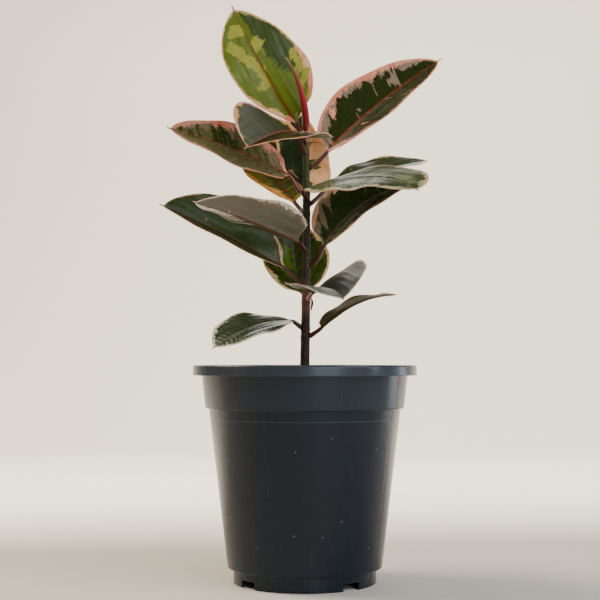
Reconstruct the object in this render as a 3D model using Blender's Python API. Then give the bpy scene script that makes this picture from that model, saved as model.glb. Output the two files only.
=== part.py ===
"""Potted rubber plant: a young variegated ficus with fifteen leaves in a moulded nursery pot.

Metres, +Z up. The origin is on the pot's axis, at the surface the pot stands on.
The plant is seen from -Y, with +X to the right.
"""
import math

import bpy
from mathutils import Vector, noise

MM = 0.001
GAP = 0.3            # clearance between neighbouring solids, mm
RIGHTWARDS = Vector((1, 0, 0))
BACKWARDS = Vector((0, 1, 0))

# Pot, in mm: radii and heights of the moulded wall.
POT_HEIGHT = 158.5
RIM_RADIUS = 82.5
RIM_DEPTH = 7.6      # height of the rolled rim's skirt
RIM_WALL = 1.5
RIM_ROUND = 1.2
COLLAR_TOP_RADIUS = 75.9
COLLAR_LOW_RADIUS = 73.2
COLLAR_LOW = 127.0   # height of the step under the collar
COLLAR_ROUND = 1.1
STEP_DEPTH = 2.6     # how far the body stands in from the collar
BODY_LOW_RADIUS = 56.5
BODY_ROUND = 1.5
FOOT_HEIGHT = 11.0
FOOT_RADIUS = 52.3
FOOT_WALL = 2.0
POT_WALL = 1.4
FLOOR_UNDER = 9.6    # height of the floor's underside
FLOOR_SLOPE = 4.0    # height over which the floor runs up into the wall
POT_SIDES = 60
NOTCH_WIDTH = 14.5   # the foot's four drain notches
NOTCH_HEIGHT = 5.4
NOTCH_REACH = 14.0   # how far each notch's cutter spans the foot's wall
NOTCH_ANGLES = (-141.0, -51.0, 39.0, 129.0)   # degrees from the front, positive to the right
CENTRE_DRAIN_RADIUS = 6.0
DRAIN_SIZE = (12.0, 7.0)   # the four slots between the notches
DRAIN_CIRCLE = 36.0
DRAIN_TURN = 45.0    # degrees from a notch to the next slot

# Potting soil, in mm.
SOIL_TOP = 146.0
SOIL_SIDES = 36
SOIL_RINGS = 6
SOIL_CLEARANCE = 0.6
SOIL_RELIEF = 1.6    # how far clods stand above the level
SOIL_GRAIN = 0.09    # how fast the clods follow one another, per mm

# Stem, in mm.
STEM_SIDES = 12
STEM_LOW = 70.0      # foot of the stem, inside the soil
STEM_TOP = 331.6
STEM_LOW_RADIUS = 3.55
STEM_TOP_RADIUS = 2.3
STEM_RING_STEP = 7.0
STEM_BEND = 1.3      # how far the stem's axis swings to the right
STEM_BEND_TURN = 0.83   # share of a half wave over the stem's height
NODE_SWELL = 0.3     # how far the ring at a leaf joint stands out
NODE_SPREAD = 1.6    # height over which that ring fades
NODE_UNDER = 1.5     # how far the ring lies below the leaf's foot

# Dry scale on the stem's right side, in mm.
SCALE_LOW = 198.4
SCALE_HIGH = 208.8
SCALE_RADIUS = 0.9
SCALE_TIP_RADIUS = 0.25
SCALE_RINGS = 6
SCALE_SIDES = 8

# Red sheath round the growing tip, in mm: route of its axis and radius along it.
SHEATH_SIDES = 10
SHEATH_RINGS = 14
SHEATH_ROUTE = ((0.7, -0.4, 334.8), (1.4, -20.0, 341.0), (-1.0, -40.0, 360.0), (-13.7, -54.0, 375.5))
SHEATH_RADIUS = 2.8
SHEATH_TIP_RADIUS = 0.5
SHEATH_TAPER = 1.8

# Leaf blades and stalks, in mm.
BLADE_THICKNESS = 0.7
BLADE_RINGS = 18
OVAL_BLUNTNESS = 0.62    # power of the oval: under 1 gives full, rounded ends
BODY_END = 0.965     # place along the blade where its oval ends and the drip tip goes on
DRIP_START = 0.88
DRIP_SHARE = 0.09    # width of the drip tip at its start, as a share of the half width
TIP_HALF_WIDTH = 0.45
WAVES = 2.3          # margin waves along one blade
WAVE_SHIFT = 0.37    # share of a wave by which the right margin runs ahead of the left
RIB_HALF_WIDTH = 1.6
RIB_DEPTH = 1.5      # how far the midrib stands out beneath the blade
RIB_TAPER = 0.8      # share of that depth lost by the tip
RIB_FLANK = 0.25     # share of that depth at the midrib's flanks
FLANK = 0.55         # where the blade's section bends between midrib and margin
BLEND_END = 0.06     # share of the blade over which the round stalk opens into it
STALK_RINGS = 4
STALK_FOOT_RADIUS = 1.9
STALK_RADIUS = 1.5
STALK_DROP = 0.9     # how far the stalk's axis lies under the upper face
STALK_RISE = 0.5     # upward share of the direction in which a stalk leaves the stem
FIRST_HANDLE = 0.35  # steering of the stalk's curve, as shares of its reach
LAST_HANDLE = 0.28
SMALL_STEP = 0.02


class Leaf:
    """One leaf: where it leaves the stem, where its blade runs, and how the blade turns."""

    def __init__(self, name, foot, base, tip, bow, face, half_widths,
                 fold=(10, 10), twist=0, wave=1.2, widest=(0.46, 0.46), phase=0.0):
        self.name = name
        self.foot = foot                  # height on the stem, mm
        self.base = Vector(base)          # where stalk and blade meet
        self.tip = Vector(tip)
        self.bow = Vector(bow)            # how far the middle of the midrib leaves the chord
        self.face = Vector(face)          # where the upper face looks
        self.half_widths = half_widths    # left and right of the midrib, seen on the upper face
        self.fold = fold                  # degrees each half is lifted from flat
        self.twist = twist                # degrees the blade turns from base to tip
        self.wave = wave                  # height of the margin's waves, mm
        self.widest = widest              # where along the blade each half is widest
        self.phase = phase                # where the margin's waves start


LEAVES = (
    Leaf("leaf_01_top_left", 316, (-6.5, -12.5, 336.0), (-51.5, -63, 409.5), (-2, -5, -2),
         (-0.64, 0.75, 0.17), (35.0, 26.5), fold=(-8, 0), widest=(0.34, 0.60), phase=0.1),
    Leaf("leaf_02_upper_right", 305, (16, 4, 317.5), (105, 24, 393), (-4, 0, 1.5),
         (-0.25, -0.90, 0.35), (31, 31), fold=(2, 38), widest=(0.41, 0.46), phase=0.4),
    Leaf("leaf_03_left", 286, (-11.5, -3, 299.5), (-100, -30, 330), (0, -2, 3),
         (-0.10, -0.74, 0.67), (34, 28), fold=(22, 0), widest=(0.45, 0.42), phase=0.7),
    Leaf("leaf_04_front", 324, (-0.8, -16.8, 326), (-42.5, -62, 309.4), (4.5, 2.9, 7.9),
         (-0.05, -0.37, 0.92), (38.5, 30.2), fold=(3, 56), twist=-9, widest=(0.37, 0.79), phase=0.2),
    Leaf("leaf_05_back", 284, (1, 15, 291), (-2, 48, 356), (-1, 0, 0),
         (0.55, -0.72, 0.35), (27, 24), fold=(8, 8), widest=(0.38, 0.36), phase=0.5),
    Leaf("leaf_06_back_left", 272, (-7, 9, 280.5), (-48, 54, 345), (-1, 4, -1),
         (0.30, -0.78, 0.58), (26, 25), fold=(12, 6), widest=(0.46, 0.50), phase=0.9),
    Leaf("leaf_07_front_right", 282, (-1, -12.5, 287), (79, -64, 279.5), (10, 3, 10),
         (0.00, -0.42, 0.90), (30, 30), fold=(2, -1), widest=(0.60, 0.45), phase=0.3),
    Leaf("leaf_08_right", 278, (21, 16, 295), (98.5, 56, 320), (0, 0, 2),
         (-0.10, -0.35, 0.95), (26, 26), fold=(8, 8), widest=(0.55, 0.50), phase=0.6),
    Leaf("leaf_09_dark_right", 232, (14, -4, 246.5), (79.5, -9, 292), (-5, 0, 7),
         (-0.25, -0.92, 0.30), (27, 28), fold=(2, 50), widest=(0.38, 0.44), phase=0.8),
    Leaf("leaf_10_left", 219, (-15, 1, 231), (-107.5, -8, 277), (0, 0, 2),
         (0.10, -0.95, 0.30), (27, 28), fold=(60, 2), widest=(0.45, 0.48), phase=0.15),
    Leaf("leaf_11_front_left", 244, (-5.5, -10, 250), (-78, -66, 272), (0, -2, 2),
         (-0.14, 0.44, 0.82), (27, 28), fold=(2, 33), widest=(0.34, 0.46), phase=0.45),
    Leaf("leaf_12_back_low", 206, (-1, 8, 212), (-8, 36, 272), (-3, 4, 0),
         (0.10, -0.90, 0.45), (26, 26), fold=(12, 12), widest=(0.42, 0.42), phase=0.75),
    Leaf("leaf_13_front_low", 207, (6, -12, 212.5), (26, -80, 203), (2, 0, 5),
         (-0.10, -0.15, 1.0), (31, 31), fold=(32, 14), widest=(0.50, 0.42), phase=0.35),
    Leaf("leaf_14_low_right", 180, (11, -3, 186), (67, -30, 209), (0, -2, 7),
         (-0.20, 0.02, 0.95), (20, 20), fold=(6, 6), widest=(0.46, 0.46), phase=0.55),
    Leaf("leaf_15_low_left", 186.5, (-9, -3, 191.5), (-66.5, -36, 170), (0, -3, 6),
         (-0.15, -0.50, 0.85), (21, 23), fold=(6, 4), widest=(0.50, 0.60), phase=0.85),
)


def material(name, colour, roughness):
    """A plain surface with the piece's colour and roughness."""
    made = bpy.data.materials.new(name)
    made.use_nodes = True
    shader = made.node_tree.nodes["Principled BSDF"]
    shader.inputs["Base Color"].default_value = (*colour, 1.0)
    shader.inputs["Roughness"].default_value = roughness
    made.diffuse_color = (*colour, 1.0)
    return made


def add_object(name, points, faces, surface, smooth_angle=40.0):
    """A named object from points in mm and faces that look outwards."""
    mesh = bpy.data.meshes.new(name)
    mesh.from_pydata([Vector(point) * MM for point in points], [], faces)
    mesh.materials.append(surface)
    mesh.shade_smooth()
    mesh.set_sharp_from_angle(angle=math.radians(smooth_angle))
    made = bpy.data.objects.new(name, mesh)
    bpy.context.collection.objects.link(made)
    return made


def turned_ring(profile, sides):
    """Points and quads of a closed profile of (radius, height) turned about the Z axis.

    The profile runs so that the solid lies on its left, seen with +radius to the right.
    """
    points = []
    for side in range(sides):
        angle = 2 * math.pi * side / sides
        points += [(radius * math.cos(angle), radius * math.sin(angle), height) for radius, height in profile]
    count = len(profile)
    faces = []
    for side in range(sides):
        here = side * count
        there = (side + 1) % sides * count
        for step in range(count):
            after = (step + 1) % count
            faces.append((here + step, there + step, there + after, here + after))
    return points, faces


def closed_loft(rings):
    """Points and triangles through rings of equal count, with a fan over each end.

    The rings turn anticlockwise seen from the far end, looking back at the first.
    """
    count = len(rings[0])
    points = [point for ring in rings for point in ring]
    faces = []
    for row in range(len(rings) - 1):
        here = row * count
        there = here + count
        for column in range(count):
            after = (column + 1) % count
            faces.append((here + column, here + after, there + after))
            faces.append((here + column, there + after, there + column))
    first_centre = len(points)
    points.append(sum((Vector(point) for point in rings[0]), Vector()) / count)
    last_centre = len(points)
    points.append(sum((Vector(point) for point in rings[-1]), Vector()) / count)
    last = (len(rings) - 1) * count
    for column in range(count):
        after = (column + 1) % count
        faces.append((first_centre, after, column))
        faces.append((last_centre, last + column, last + after))
    return points, faces


def circle(centre, radius, side, up, count):
    """Points round a centre, anticlockwise from the side direction towards the up direction."""
    ring = []
    for step in range(count):
        angle = 2 * math.pi * step / count
        ring.append(centre + side * (radius * math.cos(angle)) + up * (radius * math.sin(angle)))
    return ring


def bezier(route, share):
    """A point on the smooth curve that four points steer."""
    first, second, third, fourth = (Vector(point) for point in route)
    rest = 1.0 - share
    return (first * rest ** 3 + second * (3 * rest ** 2 * share)
            + third * (3 * rest * share ** 2) + fourth * share ** 3)


def bezier_heading(route, share):
    """The direction in which that curve runs."""
    before = bezier(route, max(share - SMALL_STEP, 0.0))
    after = bezier(route, min(share + SMALL_STEP, 1.0))
    return (after - before).normalized()


def box_points(centre, size, turn):
    """Corners of a box turned about the Z axis by an angle in radians."""
    corners = []
    for side_x in (-0.5, 0.5):
        for side_y in (-0.5, 0.5):
            for side_z in (-0.5, 0.5):
                x = centre[0] + side_x * size[0]
                y = centre[1] + side_y * size[1]
                z = centre[2] + side_z * size[2]
                corners.append((x * math.cos(turn) - y * math.sin(turn),
                                x * math.sin(turn) + y * math.cos(turn), z))
    return corners


BOX_FACES = ((0, 1, 3, 2), (4, 6, 7, 5), (0, 4, 5, 1), (2, 3, 7, 6), (0, 2, 6, 4), (1, 5, 7, 3))


def cut_away(target, cutters):
    """Take the cutters out of the target; the cutters stay behind as hidden wire boxes."""
    cutter_group = bpy.data.collections.new("cutters")
    bpy.context.scene.collection.children.link(cutter_group)
    for cutter in cutters:
        bpy.context.collection.objects.unlink(cutter)
        cutter_group.objects.link(cutter)
        cutter.hide_render = True
        cutter.display_type = "WIRE"
    cut = target.modifiers.new("cut", "BOOLEAN")
    cut.operation = "DIFFERENCE"
    cut.solver = "EXACT"
    cut.operand_type = "COLLECTION"
    cut.collection = cutter_group


def body_radius(height, inset=0.0):
    """Outer radius of the pot's tapered body at a height, less an inset."""
    top_radius = COLLAR_LOW_RADIUS - STEP_DEPTH
    share = (height - FOOT_HEIGHT) / (COLLAR_LOW - FOOT_HEIGHT)
    return BODY_LOW_RADIUS + (top_radius - BODY_LOW_RADIUS) * share - inset


def make_pot():
    """The moulded pot: one wall with a rolled rim, a collar, a tapered body and a notched foot."""
    plastic = material("charcoal_polypropylene", (0.035, 0.040, 0.047), 0.34)
    rim_low = POT_HEIGHT - RIM_DEPTH
    floor_top = FLOOR_UNDER + POT_WALL
    profile = (
        (CENTRE_DRAIN_RADIUS, FLOOR_UNDER),
        (FOOT_RADIUS - FOOT_WALL, FLOOR_UNDER),
        (FOOT_RADIUS - FOOT_WALL, 0.0),
        (FOOT_RADIUS, 0.0),
        (FOOT_RADIUS, FOOT_HEIGHT),
        (BODY_LOW_RADIUS - BODY_ROUND, FOOT_HEIGHT),
        (BODY_LOW_RADIUS, FOOT_HEIGHT + BODY_ROUND),
        (body_radius(COLLAR_LOW), COLLAR_LOW),
        (COLLAR_LOW_RADIUS - COLLAR_ROUND, COLLAR_LOW),
        (COLLAR_LOW_RADIUS, COLLAR_LOW + COLLAR_ROUND),
        (COLLAR_TOP_RADIUS, rim_low),
        (COLLAR_TOP_RADIUS, POT_HEIGHT - RIM_WALL),
        (RIM_RADIUS - RIM_WALL, POT_HEIGHT - RIM_WALL),
        (RIM_RADIUS - RIM_WALL, rim_low),
        (RIM_RADIUS - RIM_ROUND / 4, rim_low),
        (RIM_RADIUS, POT_HEIGHT - RIM_ROUND),
        (RIM_RADIUS - RIM_ROUND / 3, POT_HEIGHT - RIM_ROUND / 4),
        (RIM_RADIUS - RIM_ROUND, POT_HEIGHT),
        (COLLAR_TOP_RADIUS - POT_WALL, POT_HEIGHT),
        (COLLAR_LOW_RADIUS - POT_WALL, COLLAR_LOW + POT_WALL),
        (body_radius(COLLAR_LOW, POT_WALL), COLLAR_LOW - POT_WALL),
        (body_radius(floor_top + FLOOR_SLOPE, POT_WALL), floor_top + FLOOR_SLOPE),
        (FOOT_RADIUS - FOOT_WALL, floor_top),
        (CENTRE_DRAIN_RADIUS, floor_top),
    )
    pot = add_object("pot", *turned_ring(profile, POT_SIDES), plastic)
    cutters = []
    for number, degrees in enumerate(NOTCH_ANGLES):
        turn = math.radians(degrees)
        notch = box_points((0, -FOOT_RADIUS, 0), (NOTCH_WIDTH, NOTCH_REACH, 2 * NOTCH_HEIGHT), turn)
        cutters.append(add_object(f"notch_{number}", notch, BOX_FACES, plastic))
        drain = box_points((0, -DRAIN_CIRCLE, FLOOR_UNDER), (*DRAIN_SIZE, FLOOR_UNDER),
                           turn + math.radians(DRAIN_TURN))
        cutters.append(add_object(f"drain_{number}", drain, BOX_FACES, plastic))
    cut_away(pot, cutters)


def make_soil():
    """The potting mix: it fills the pot, clear of the wall, with a hole for the stem."""
    mix = material("peat_and_bark_mix", (0.045, 0.028, 0.017), 0.95)
    low = FLOOR_UNDER + POT_WALL + GAP
    edge = COLLAR_LOW_RADIUS - POT_WALL - SOIL_CLEARANCE
    hole = STEM_LOW_RADIUS + NODE_SWELL + 2 * GAP
    profile = [
        (FOOT_RADIUS - FOOT_WALL - SOIL_CLEARANCE, low),
        (body_radius(low + FLOOR_SLOPE, POT_WALL) - SOIL_CLEARANCE, low + FLOOR_SLOPE),
        (body_radius(COLLAR_LOW - 2 * POT_WALL, POT_WALL) - SOIL_CLEARANCE, COLLAR_LOW - 2 * POT_WALL),
        (edge, COLLAR_LOW + 2 * POT_WALL),
    ]
    top_edge = edge + (COLLAR_TOP_RADIUS - COLLAR_LOW_RADIUS) / 2
    for step in range(SOIL_RINGS + 1):
        profile.append((top_edge + (hole - top_edge) * step / SOIL_RINGS, SOIL_TOP))
    profile.append((hole, STEM_LOW - GAP))
    rings = []
    for radius, height in profile:
        ring = circle(Vector((0, 0, height)), radius, RIGHTWARDS, BACKWARDS, SOIL_SIDES)
        if height == SOIL_TOP:
            for point in ring:
                point.z += SOIL_RELIEF * noise.noise(point * SOIL_GRAIN)
        rings.append(ring)
    add_object("soil", *closed_loft(rings), mix)


def stem_centre(height):
    """The stem's axis at a height: it swings a little to the right and back."""
    share = min(max((height - POT_HEIGHT) / (STEM_TOP - POT_HEIGHT), 0.0), 1.0)
    return Vector((STEM_BEND * math.sin(math.pi * STEM_BEND_TURN * share), 0.0, height))


def stem_radius(height):
    """The stem's radius at a height, with a low ring where each leaf joins."""
    share = min(max((height - POT_HEIGHT) / (STEM_TOP - POT_HEIGHT), 0.0), 1.0)
    radius = STEM_LOW_RADIUS + (STEM_TOP_RADIUS - STEM_LOW_RADIUS) * share
    nearest = min(abs(height - leaf.foot + NODE_UNDER) for leaf in LEAVES)
    return radius + NODE_SWELL * math.exp(-(nearest / NODE_SPREAD) ** 2)


def make_stem():
    """The woody stem, from its foot in the soil to the growing tip."""
    bark = material("green_brown_bark", (0.060, 0.042, 0.022), 0.62)
    steps = int((STEM_TOP - STEM_LOW) / STEM_RING_STEP)
    heights = [STEM_LOW + STEM_RING_STEP * step for step in range(steps)]
    for leaf in LEAVES:
        ring = leaf.foot - NODE_UNDER
        heights += [ring - NODE_SPREAD, ring, ring + NODE_SPREAD]
    kept = [STEM_LOW]
    for height in sorted(heights):
        if height - kept[-1] > NODE_SPREAD / 2:
            kept.append(height)
    kept.append(STEM_TOP)
    rings = []
    for height in kept:
        rings.append(circle(stem_centre(height), stem_radius(height), RIGHTWARDS, BACKWARDS, STEM_SIDES))
    add_object("stem", *closed_loft(rings), bark)


def make_scale():
    """The dry pointed scale that lies along the stem's right side."""
    husk = material("dry_brown_scale", (0.030, 0.017, 0.010), 0.7)
    rings = []
    for step in range(SCALE_RINGS + 1):
        share = step / SCALE_RINGS
        centre = stem_centre(SCALE_LOW + (SCALE_HIGH - SCALE_LOW) * share)
        radius = SCALE_TIP_RADIUS + (SCALE_RADIUS - SCALE_TIP_RADIUS) * math.sin(math.pi * share)
        centre.x += stem_radius(centre.z) + GAP + radius
        rings.append(circle(centre, radius, RIGHTWARDS, BACKWARDS, SCALE_SIDES))
    add_object("stem_scale", *closed_loft(rings), husk)


def make_sheath():
    """The pointed red sheath that wraps the next leaf."""
    skin = material("crimson_leaf_sheath", (0.32, 0.018, 0.030), 0.38)
    rings = []
    across = RIGHTWARDS
    for step in range(SHEATH_RINGS + 1):
        share = step / SHEATH_RINGS
        ahead = bezier_heading(SHEATH_ROUTE, share)
        across = (across - ahead * across.dot(ahead)).normalized()
        radius = SHEATH_TIP_RADIUS + (SHEATH_RADIUS - SHEATH_TIP_RADIUS) * (1 - share ** SHEATH_TAPER)
        rings.append(circle(bezier(SHEATH_ROUTE, share), radius, across, ahead.cross(across), SHEATH_SIDES))
    add_object("bud_sheath", *closed_loft(rings), skin)


def midrib_point(leaf, along):
    """A point on the midrib, from 0 at the blade's base to 1 at its tip."""
    steer = (leaf.base + leaf.tip) / 2 + leaf.bow * 2
    rest = 1.0 - along
    return leaf.base * rest ** 2 + steer * (2 * rest * along) + leaf.tip * along ** 2


def midrib_frame(leaf, along):
    """Directions ahead along the midrib, to the right across the blade, and out of its upper face."""
    steer = (leaf.base + leaf.tip) / 2 + leaf.bow * 2
    ahead = (steer - leaf.base) * (1.0 - along) + (leaf.tip - steer) * along
    ahead.normalize()
    up = (leaf.face - ahead * leaf.face.dot(ahead)).normalized()
    right = ahead.cross(up)
    turn = math.radians(leaf.twist) * (along - 0.5)
    turned_up = up * math.cos(turn) - right * math.sin(turn)
    turned_right = right * math.cos(turn) + up * math.sin(turn)
    return ahead, turned_right, turned_up


def half_width(leaf, along, half):
    """Width of one half at a place: an oval that runs out into a short drip tip."""
    stretch = math.log(0.5) / math.log(leaf.widest[half] / BODY_END)
    place = min(along / BODY_END, 1.0) ** stretch
    share = max(math.sin(math.pi * place), 0.0) ** OVAL_BLUNTNESS
    if along > DRIP_START:
        drip = DRIP_SHARE * (1.0 - along) / (1.0 - DRIP_START)
        share = (share ** 3 + drip ** 3) ** (1 / 3)
    return max(leaf.half_widths[half] * share, TIP_HALF_WIDTH)


def blade_point(leaf, along, across):
    """A point of the blade's upper face; across runs from -1 at the left margin to 1 at the right."""
    _, right, up = midrib_frame(leaf, along)
    half = 1 if across > 0 else 0
    reach = max(half_width(leaf, along, half), STALK_RADIUS * (1 - along / BLEND_END))
    tilt = math.radians(leaf.fold[half])
    sideways = across * reach * math.cos(tilt)
    ripple = math.sin(2 * math.pi * (WAVES * along + leaf.phase + WAVE_SHIFT * half))
    lift = abs(across) * reach * math.sin(tilt)
    lift += leaf.wave * ripple * across ** 2 * math.sin(math.pi * along)
    return midrib_point(leaf, along) + right * sideways + up * lift


def blade_normal(leaf, along, across):
    """The direction out of the blade's upper face."""
    right = (blade_point(leaf, along, min(across + SMALL_STEP, 1.0))
             - blade_point(leaf, along, max(across - SMALL_STEP, -1.0)))
    ahead = (blade_point(leaf, min(along + SMALL_STEP, 1.0), across)
             - blade_point(leaf, max(along - SMALL_STEP, 0.0), across))
    return right.cross(ahead).normalized()


def stalk_ring(centre, right, up, radius, count):
    """A round section that starts at the left margin and runs over the upper side first."""
    ring = []
    for step in range(count):
        angle = math.pi - (step + 0.5) * 2 * math.pi / count
        ring.append(centre + (right * math.cos(angle) + up * math.sin(angle)) * radius)
    return ring


def blade_ring(leaf, along):
    """One closed section: over the upper face from left to right, then back beneath."""
    widths = [half_width(leaf, along, half) for half in (0, 1)]
    rib = [min(RIB_HALF_WIDTH / width, 0.4) for width in widths]
    rib_drop = RIB_DEPTH * (1 - RIB_TAPER * along) * min(min(widths) / (4 * RIB_HALF_WIDTH), 1.0)
    drops = {-rib[0]: RIB_FLANK * rib_drop, 0.0: rib_drop, rib[1]: RIB_FLANK * rib_drop}
    upper = []
    lower = []
    for across in (-1.0, -FLANK, -rib[0], 0.0, rib[1], FLANK, 1.0):
        point = blade_point(leaf, along, across)
        upper.append(point)
        drop = BLADE_THICKNESS + drops.get(across, 0.0)
        lower.append(point - blade_normal(leaf, along, across) * drop)
    section = upper + lower[::-1]
    if along >= BLEND_END:
        return section
    _, right, up = midrib_frame(leaf, along)
    centre = midrib_point(leaf, along) - up * STALK_DROP
    round_section = stalk_ring(centre, right, up, STALK_RADIUS, len(section))
    share = (along / BLEND_END) ** 1.5
    return [start.lerp(end, share) for start, end in zip(round_section, section)]


def seat_on_stem(point, heading, leaf):
    """Move a point of the stalk's foot along the stalk until it lies just off the stem's skin."""
    axis = stem_centre(leaf.foot)
    radius = stem_radius(leaf.foot - NODE_UNDER) + 2 * GAP
    offset = Vector((point.x - axis.x, point.y - axis.y))
    flat = Vector((heading.x, heading.y))
    slope = flat.dot(flat)
    half = offset.dot(flat)
    inside = max(half ** 2 - slope * (offset.dot(offset) - radius ** 2), 0.0)
    return point + heading * ((-half + math.sqrt(inside)) / slope)


def stalk_rings(leaf, count):
    """Round sections of the stalk, from its foot on the stem to the blade's base."""
    ahead, _, up = midrib_frame(leaf, 0.0)
    end = midrib_point(leaf, 0.0) - up * STALK_DROP
    axis = stem_centre(leaf.foot)
    outward = Vector((end.x - axis.x, end.y - axis.y, 0)).normalized()
    start = axis + outward * stem_radius(leaf.foot)
    reach = (end - start).length
    leave = (outward + Vector((0, 0, STALK_RISE))).normalized()
    route = (start, start + leave * (FIRST_HANDLE * reach), end - ahead * (LAST_HANDLE * reach), end)
    rings = []
    for step in range(STALK_RINGS, -1, -1):
        share = step / (STALK_RINGS + 1)
        heading = bezier_heading(route, share)
        up = (up - heading * up.dot(heading)).normalized()
        radius = STALK_RADIUS + (STALK_FOOT_RADIUS - STALK_RADIUS) * (1 - share) ** 2
        ring = stalk_ring(bezier(route, share), heading.cross(up), up, radius, count)
        if step == 0:
            ring = [seat_on_stem(point, heading, leaf) for point in ring]
        rings.append(ring)
    return rings[::-1]


def make_leaf(leaf):
    """One leaf as a single body: stalk, midrib and blade."""
    skin = material(leaf.name + "_skin", (0.050, 0.085, 0.030), 0.32)
    rings = []
    for step in range(BLADE_RINGS + 1):
        along = 0.5 - 0.5 * math.cos(math.pi * step / BLADE_RINGS)
        rings.append(blade_ring(leaf, along))
    rings = stalk_rings(leaf, len(rings[0])) + rings
    add_object(leaf.name, *closed_loft(rings), skin, smooth_angle=60.0)


def main():
    for old in list(bpy.data.objects):
        bpy.data.objects.remove(old, do_unlink=True)
    make_pot()
    make_soil()
    make_stem()
    make_scale()
    make_sheath()
    for leaf in LEAVES:
        make_leaf(leaf)


main()
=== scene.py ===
"""Looks of the potted rubber plant: variegated leaves, bark, potting mix and a moulded nursery pot.

Sizes are in mm until a mesh is made. Meshes are in metres, +Z up, and the plant is seen from -Y.
"""

import math
import random
from collections import namedtuple
from itertools import product

import bmesh
import bpy
from mathutils import Euler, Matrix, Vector, noise


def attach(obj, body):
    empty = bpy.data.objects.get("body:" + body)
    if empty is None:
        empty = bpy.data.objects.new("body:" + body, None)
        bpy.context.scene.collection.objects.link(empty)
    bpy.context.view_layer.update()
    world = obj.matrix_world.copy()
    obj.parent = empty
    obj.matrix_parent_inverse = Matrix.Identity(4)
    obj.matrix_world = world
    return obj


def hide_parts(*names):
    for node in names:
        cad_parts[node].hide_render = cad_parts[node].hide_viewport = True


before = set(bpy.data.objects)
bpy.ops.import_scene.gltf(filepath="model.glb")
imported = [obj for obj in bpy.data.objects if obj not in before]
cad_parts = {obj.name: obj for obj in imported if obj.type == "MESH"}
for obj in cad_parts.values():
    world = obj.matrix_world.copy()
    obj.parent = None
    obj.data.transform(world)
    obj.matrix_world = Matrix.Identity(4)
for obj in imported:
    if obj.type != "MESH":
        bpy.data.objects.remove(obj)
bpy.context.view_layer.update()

MM = 0.001
GAP = 0.3                # distance kept between two pieces
RIGHTWARDS = Vector((1, 0, 0))
BACKWARDS = Vector((0, 1, 0))
SHARP_ANGLE = 50.0       # degrees between two faces from which their edge is drawn sharp

# Pot, in mm.
POT_HEIGHT = 158.5
RIM_RADIUS = 82.5
RIM_DEPTH = 7.6
RIM_WALL = 1.5
COLLAR_TOP_RADIUS = 75.9
COLLAR_LOW_RADIUS = 73.2
COLLAR_LOW = 127.0
STEP_DEPTH = 2.6
BODY_LOW_RADIUS = 56.5
FOOT_HEIGHT = 11.0
FOOT_RADIUS = 52.3
FOOT_WALL = 2.0
POT_WALL = 1.4
FLOOR_UNDER = 9.6
FLOOR_SLOPE = 4.0
POT_SIDES = 160
POT_SHARP_ANGLE = 40.0
CORNER_STEPS = 4
CORNER_SUPPORT = 1.5     # straight run kept beside each rounded corner, as a share of its radius
CORNER_ROOM = 2.1        # how many such runs a side has to hold
NOTCH_SIZE = (14.5, 14.0, 10.8)
NOTCH_ANGLES = (-141.0, -51.0, 39.0, 129.0)
CENTRE_DRAIN_RADIUS = 6.0
DRAIN_SIZE = (12.0, 7.0, 9.6)
DRAIN_CIRCLE = 36.0
DRAIN_TURN = 45.0

# Potting mix, in mm.
SOIL_TOP = 146.0
SOIL_SIDES = 180
SOIL_RINGS = 34
SOIL_CLEARANCE = 0.6
SOIL_SHARP_ANGLE = 35.0
SOIL_RELIEF = 1.6
SOIL_GRAIN = 0.09
CRUMB_RELIEF = 0.7
CRUMB_GRAIN = 0.45
CRUMB_FRACTAL = (0.7, 2.1, 4)     # how fast smaller crumbs get lower, how much finer each kind is, kinds
SOIL_SEED = 11

# Bark chips and perlite grains, in mm: how many, least and greatest size, how dented they are and how
# far they stay from the bed's edge.
Lumps = namedtuple("Lumps", "count least greatest dents margin")
BARK_CHIPS = Lumps(170, (2.0, 1.2, 0.7), (5.5, 2.8, 1.6), 0.5, 5.5)
PERLITE_GRAINS = Lumps(70, (0.7, 0.7, 0.6), (1.6, 1.4, 1.3), 0.35, 2.0)
LUMP_NEAREST = 0.012     # share of the bed round the stem that stays bare
LUMP_RISE = 0.3
LUMP_TURNS = ((-0.5, 0.5), (-0.5, 0.5), (0, 2 * math.pi))     # about X, Y and Z, in radians
DENT_SCALE = 1.7

# Stem, in mm.
STEM_SIDES = 24
STEM_LOW = 70.0
STEM_TOP = 331.6
STEM_LOW_RADIUS = 3.55
STEM_TOP_RADIUS = 2.3
STEM_RING_STEP = 1.1
BURIED_RING_STEP = 5.6
STEM_BEND = 1.3
STEM_BEND_TURN = 0.83
NODE_SWELL = 0.3
NODE_SPREAD = 1.6
NODE_UNDER = 1.5
SCAR_DEPTH = 0.12        # groove under each leaf joint's ring

# Dry scale and red sheath, in mm.
SCALE_LOW = 198.4
SCALE_HIGH = 208.8
SCALE_RADIUS = 0.9
SCALE_TIP_RADIUS = 0.25
SCALE_STEPS = 16
SHEATH_ROUTE = ((0.7, -0.4, 334.8), (1.4, -20.0, 341.0), (-1.0, -40.0, 360.0), (-13.7, -54.0, 375.5))
SHEATH_RADIUS = 2.8
SHEATH_TIP_RADIUS = 0.5
SHEATH_TAPER = 1.8
SHEATH_STEPS = 60

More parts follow.
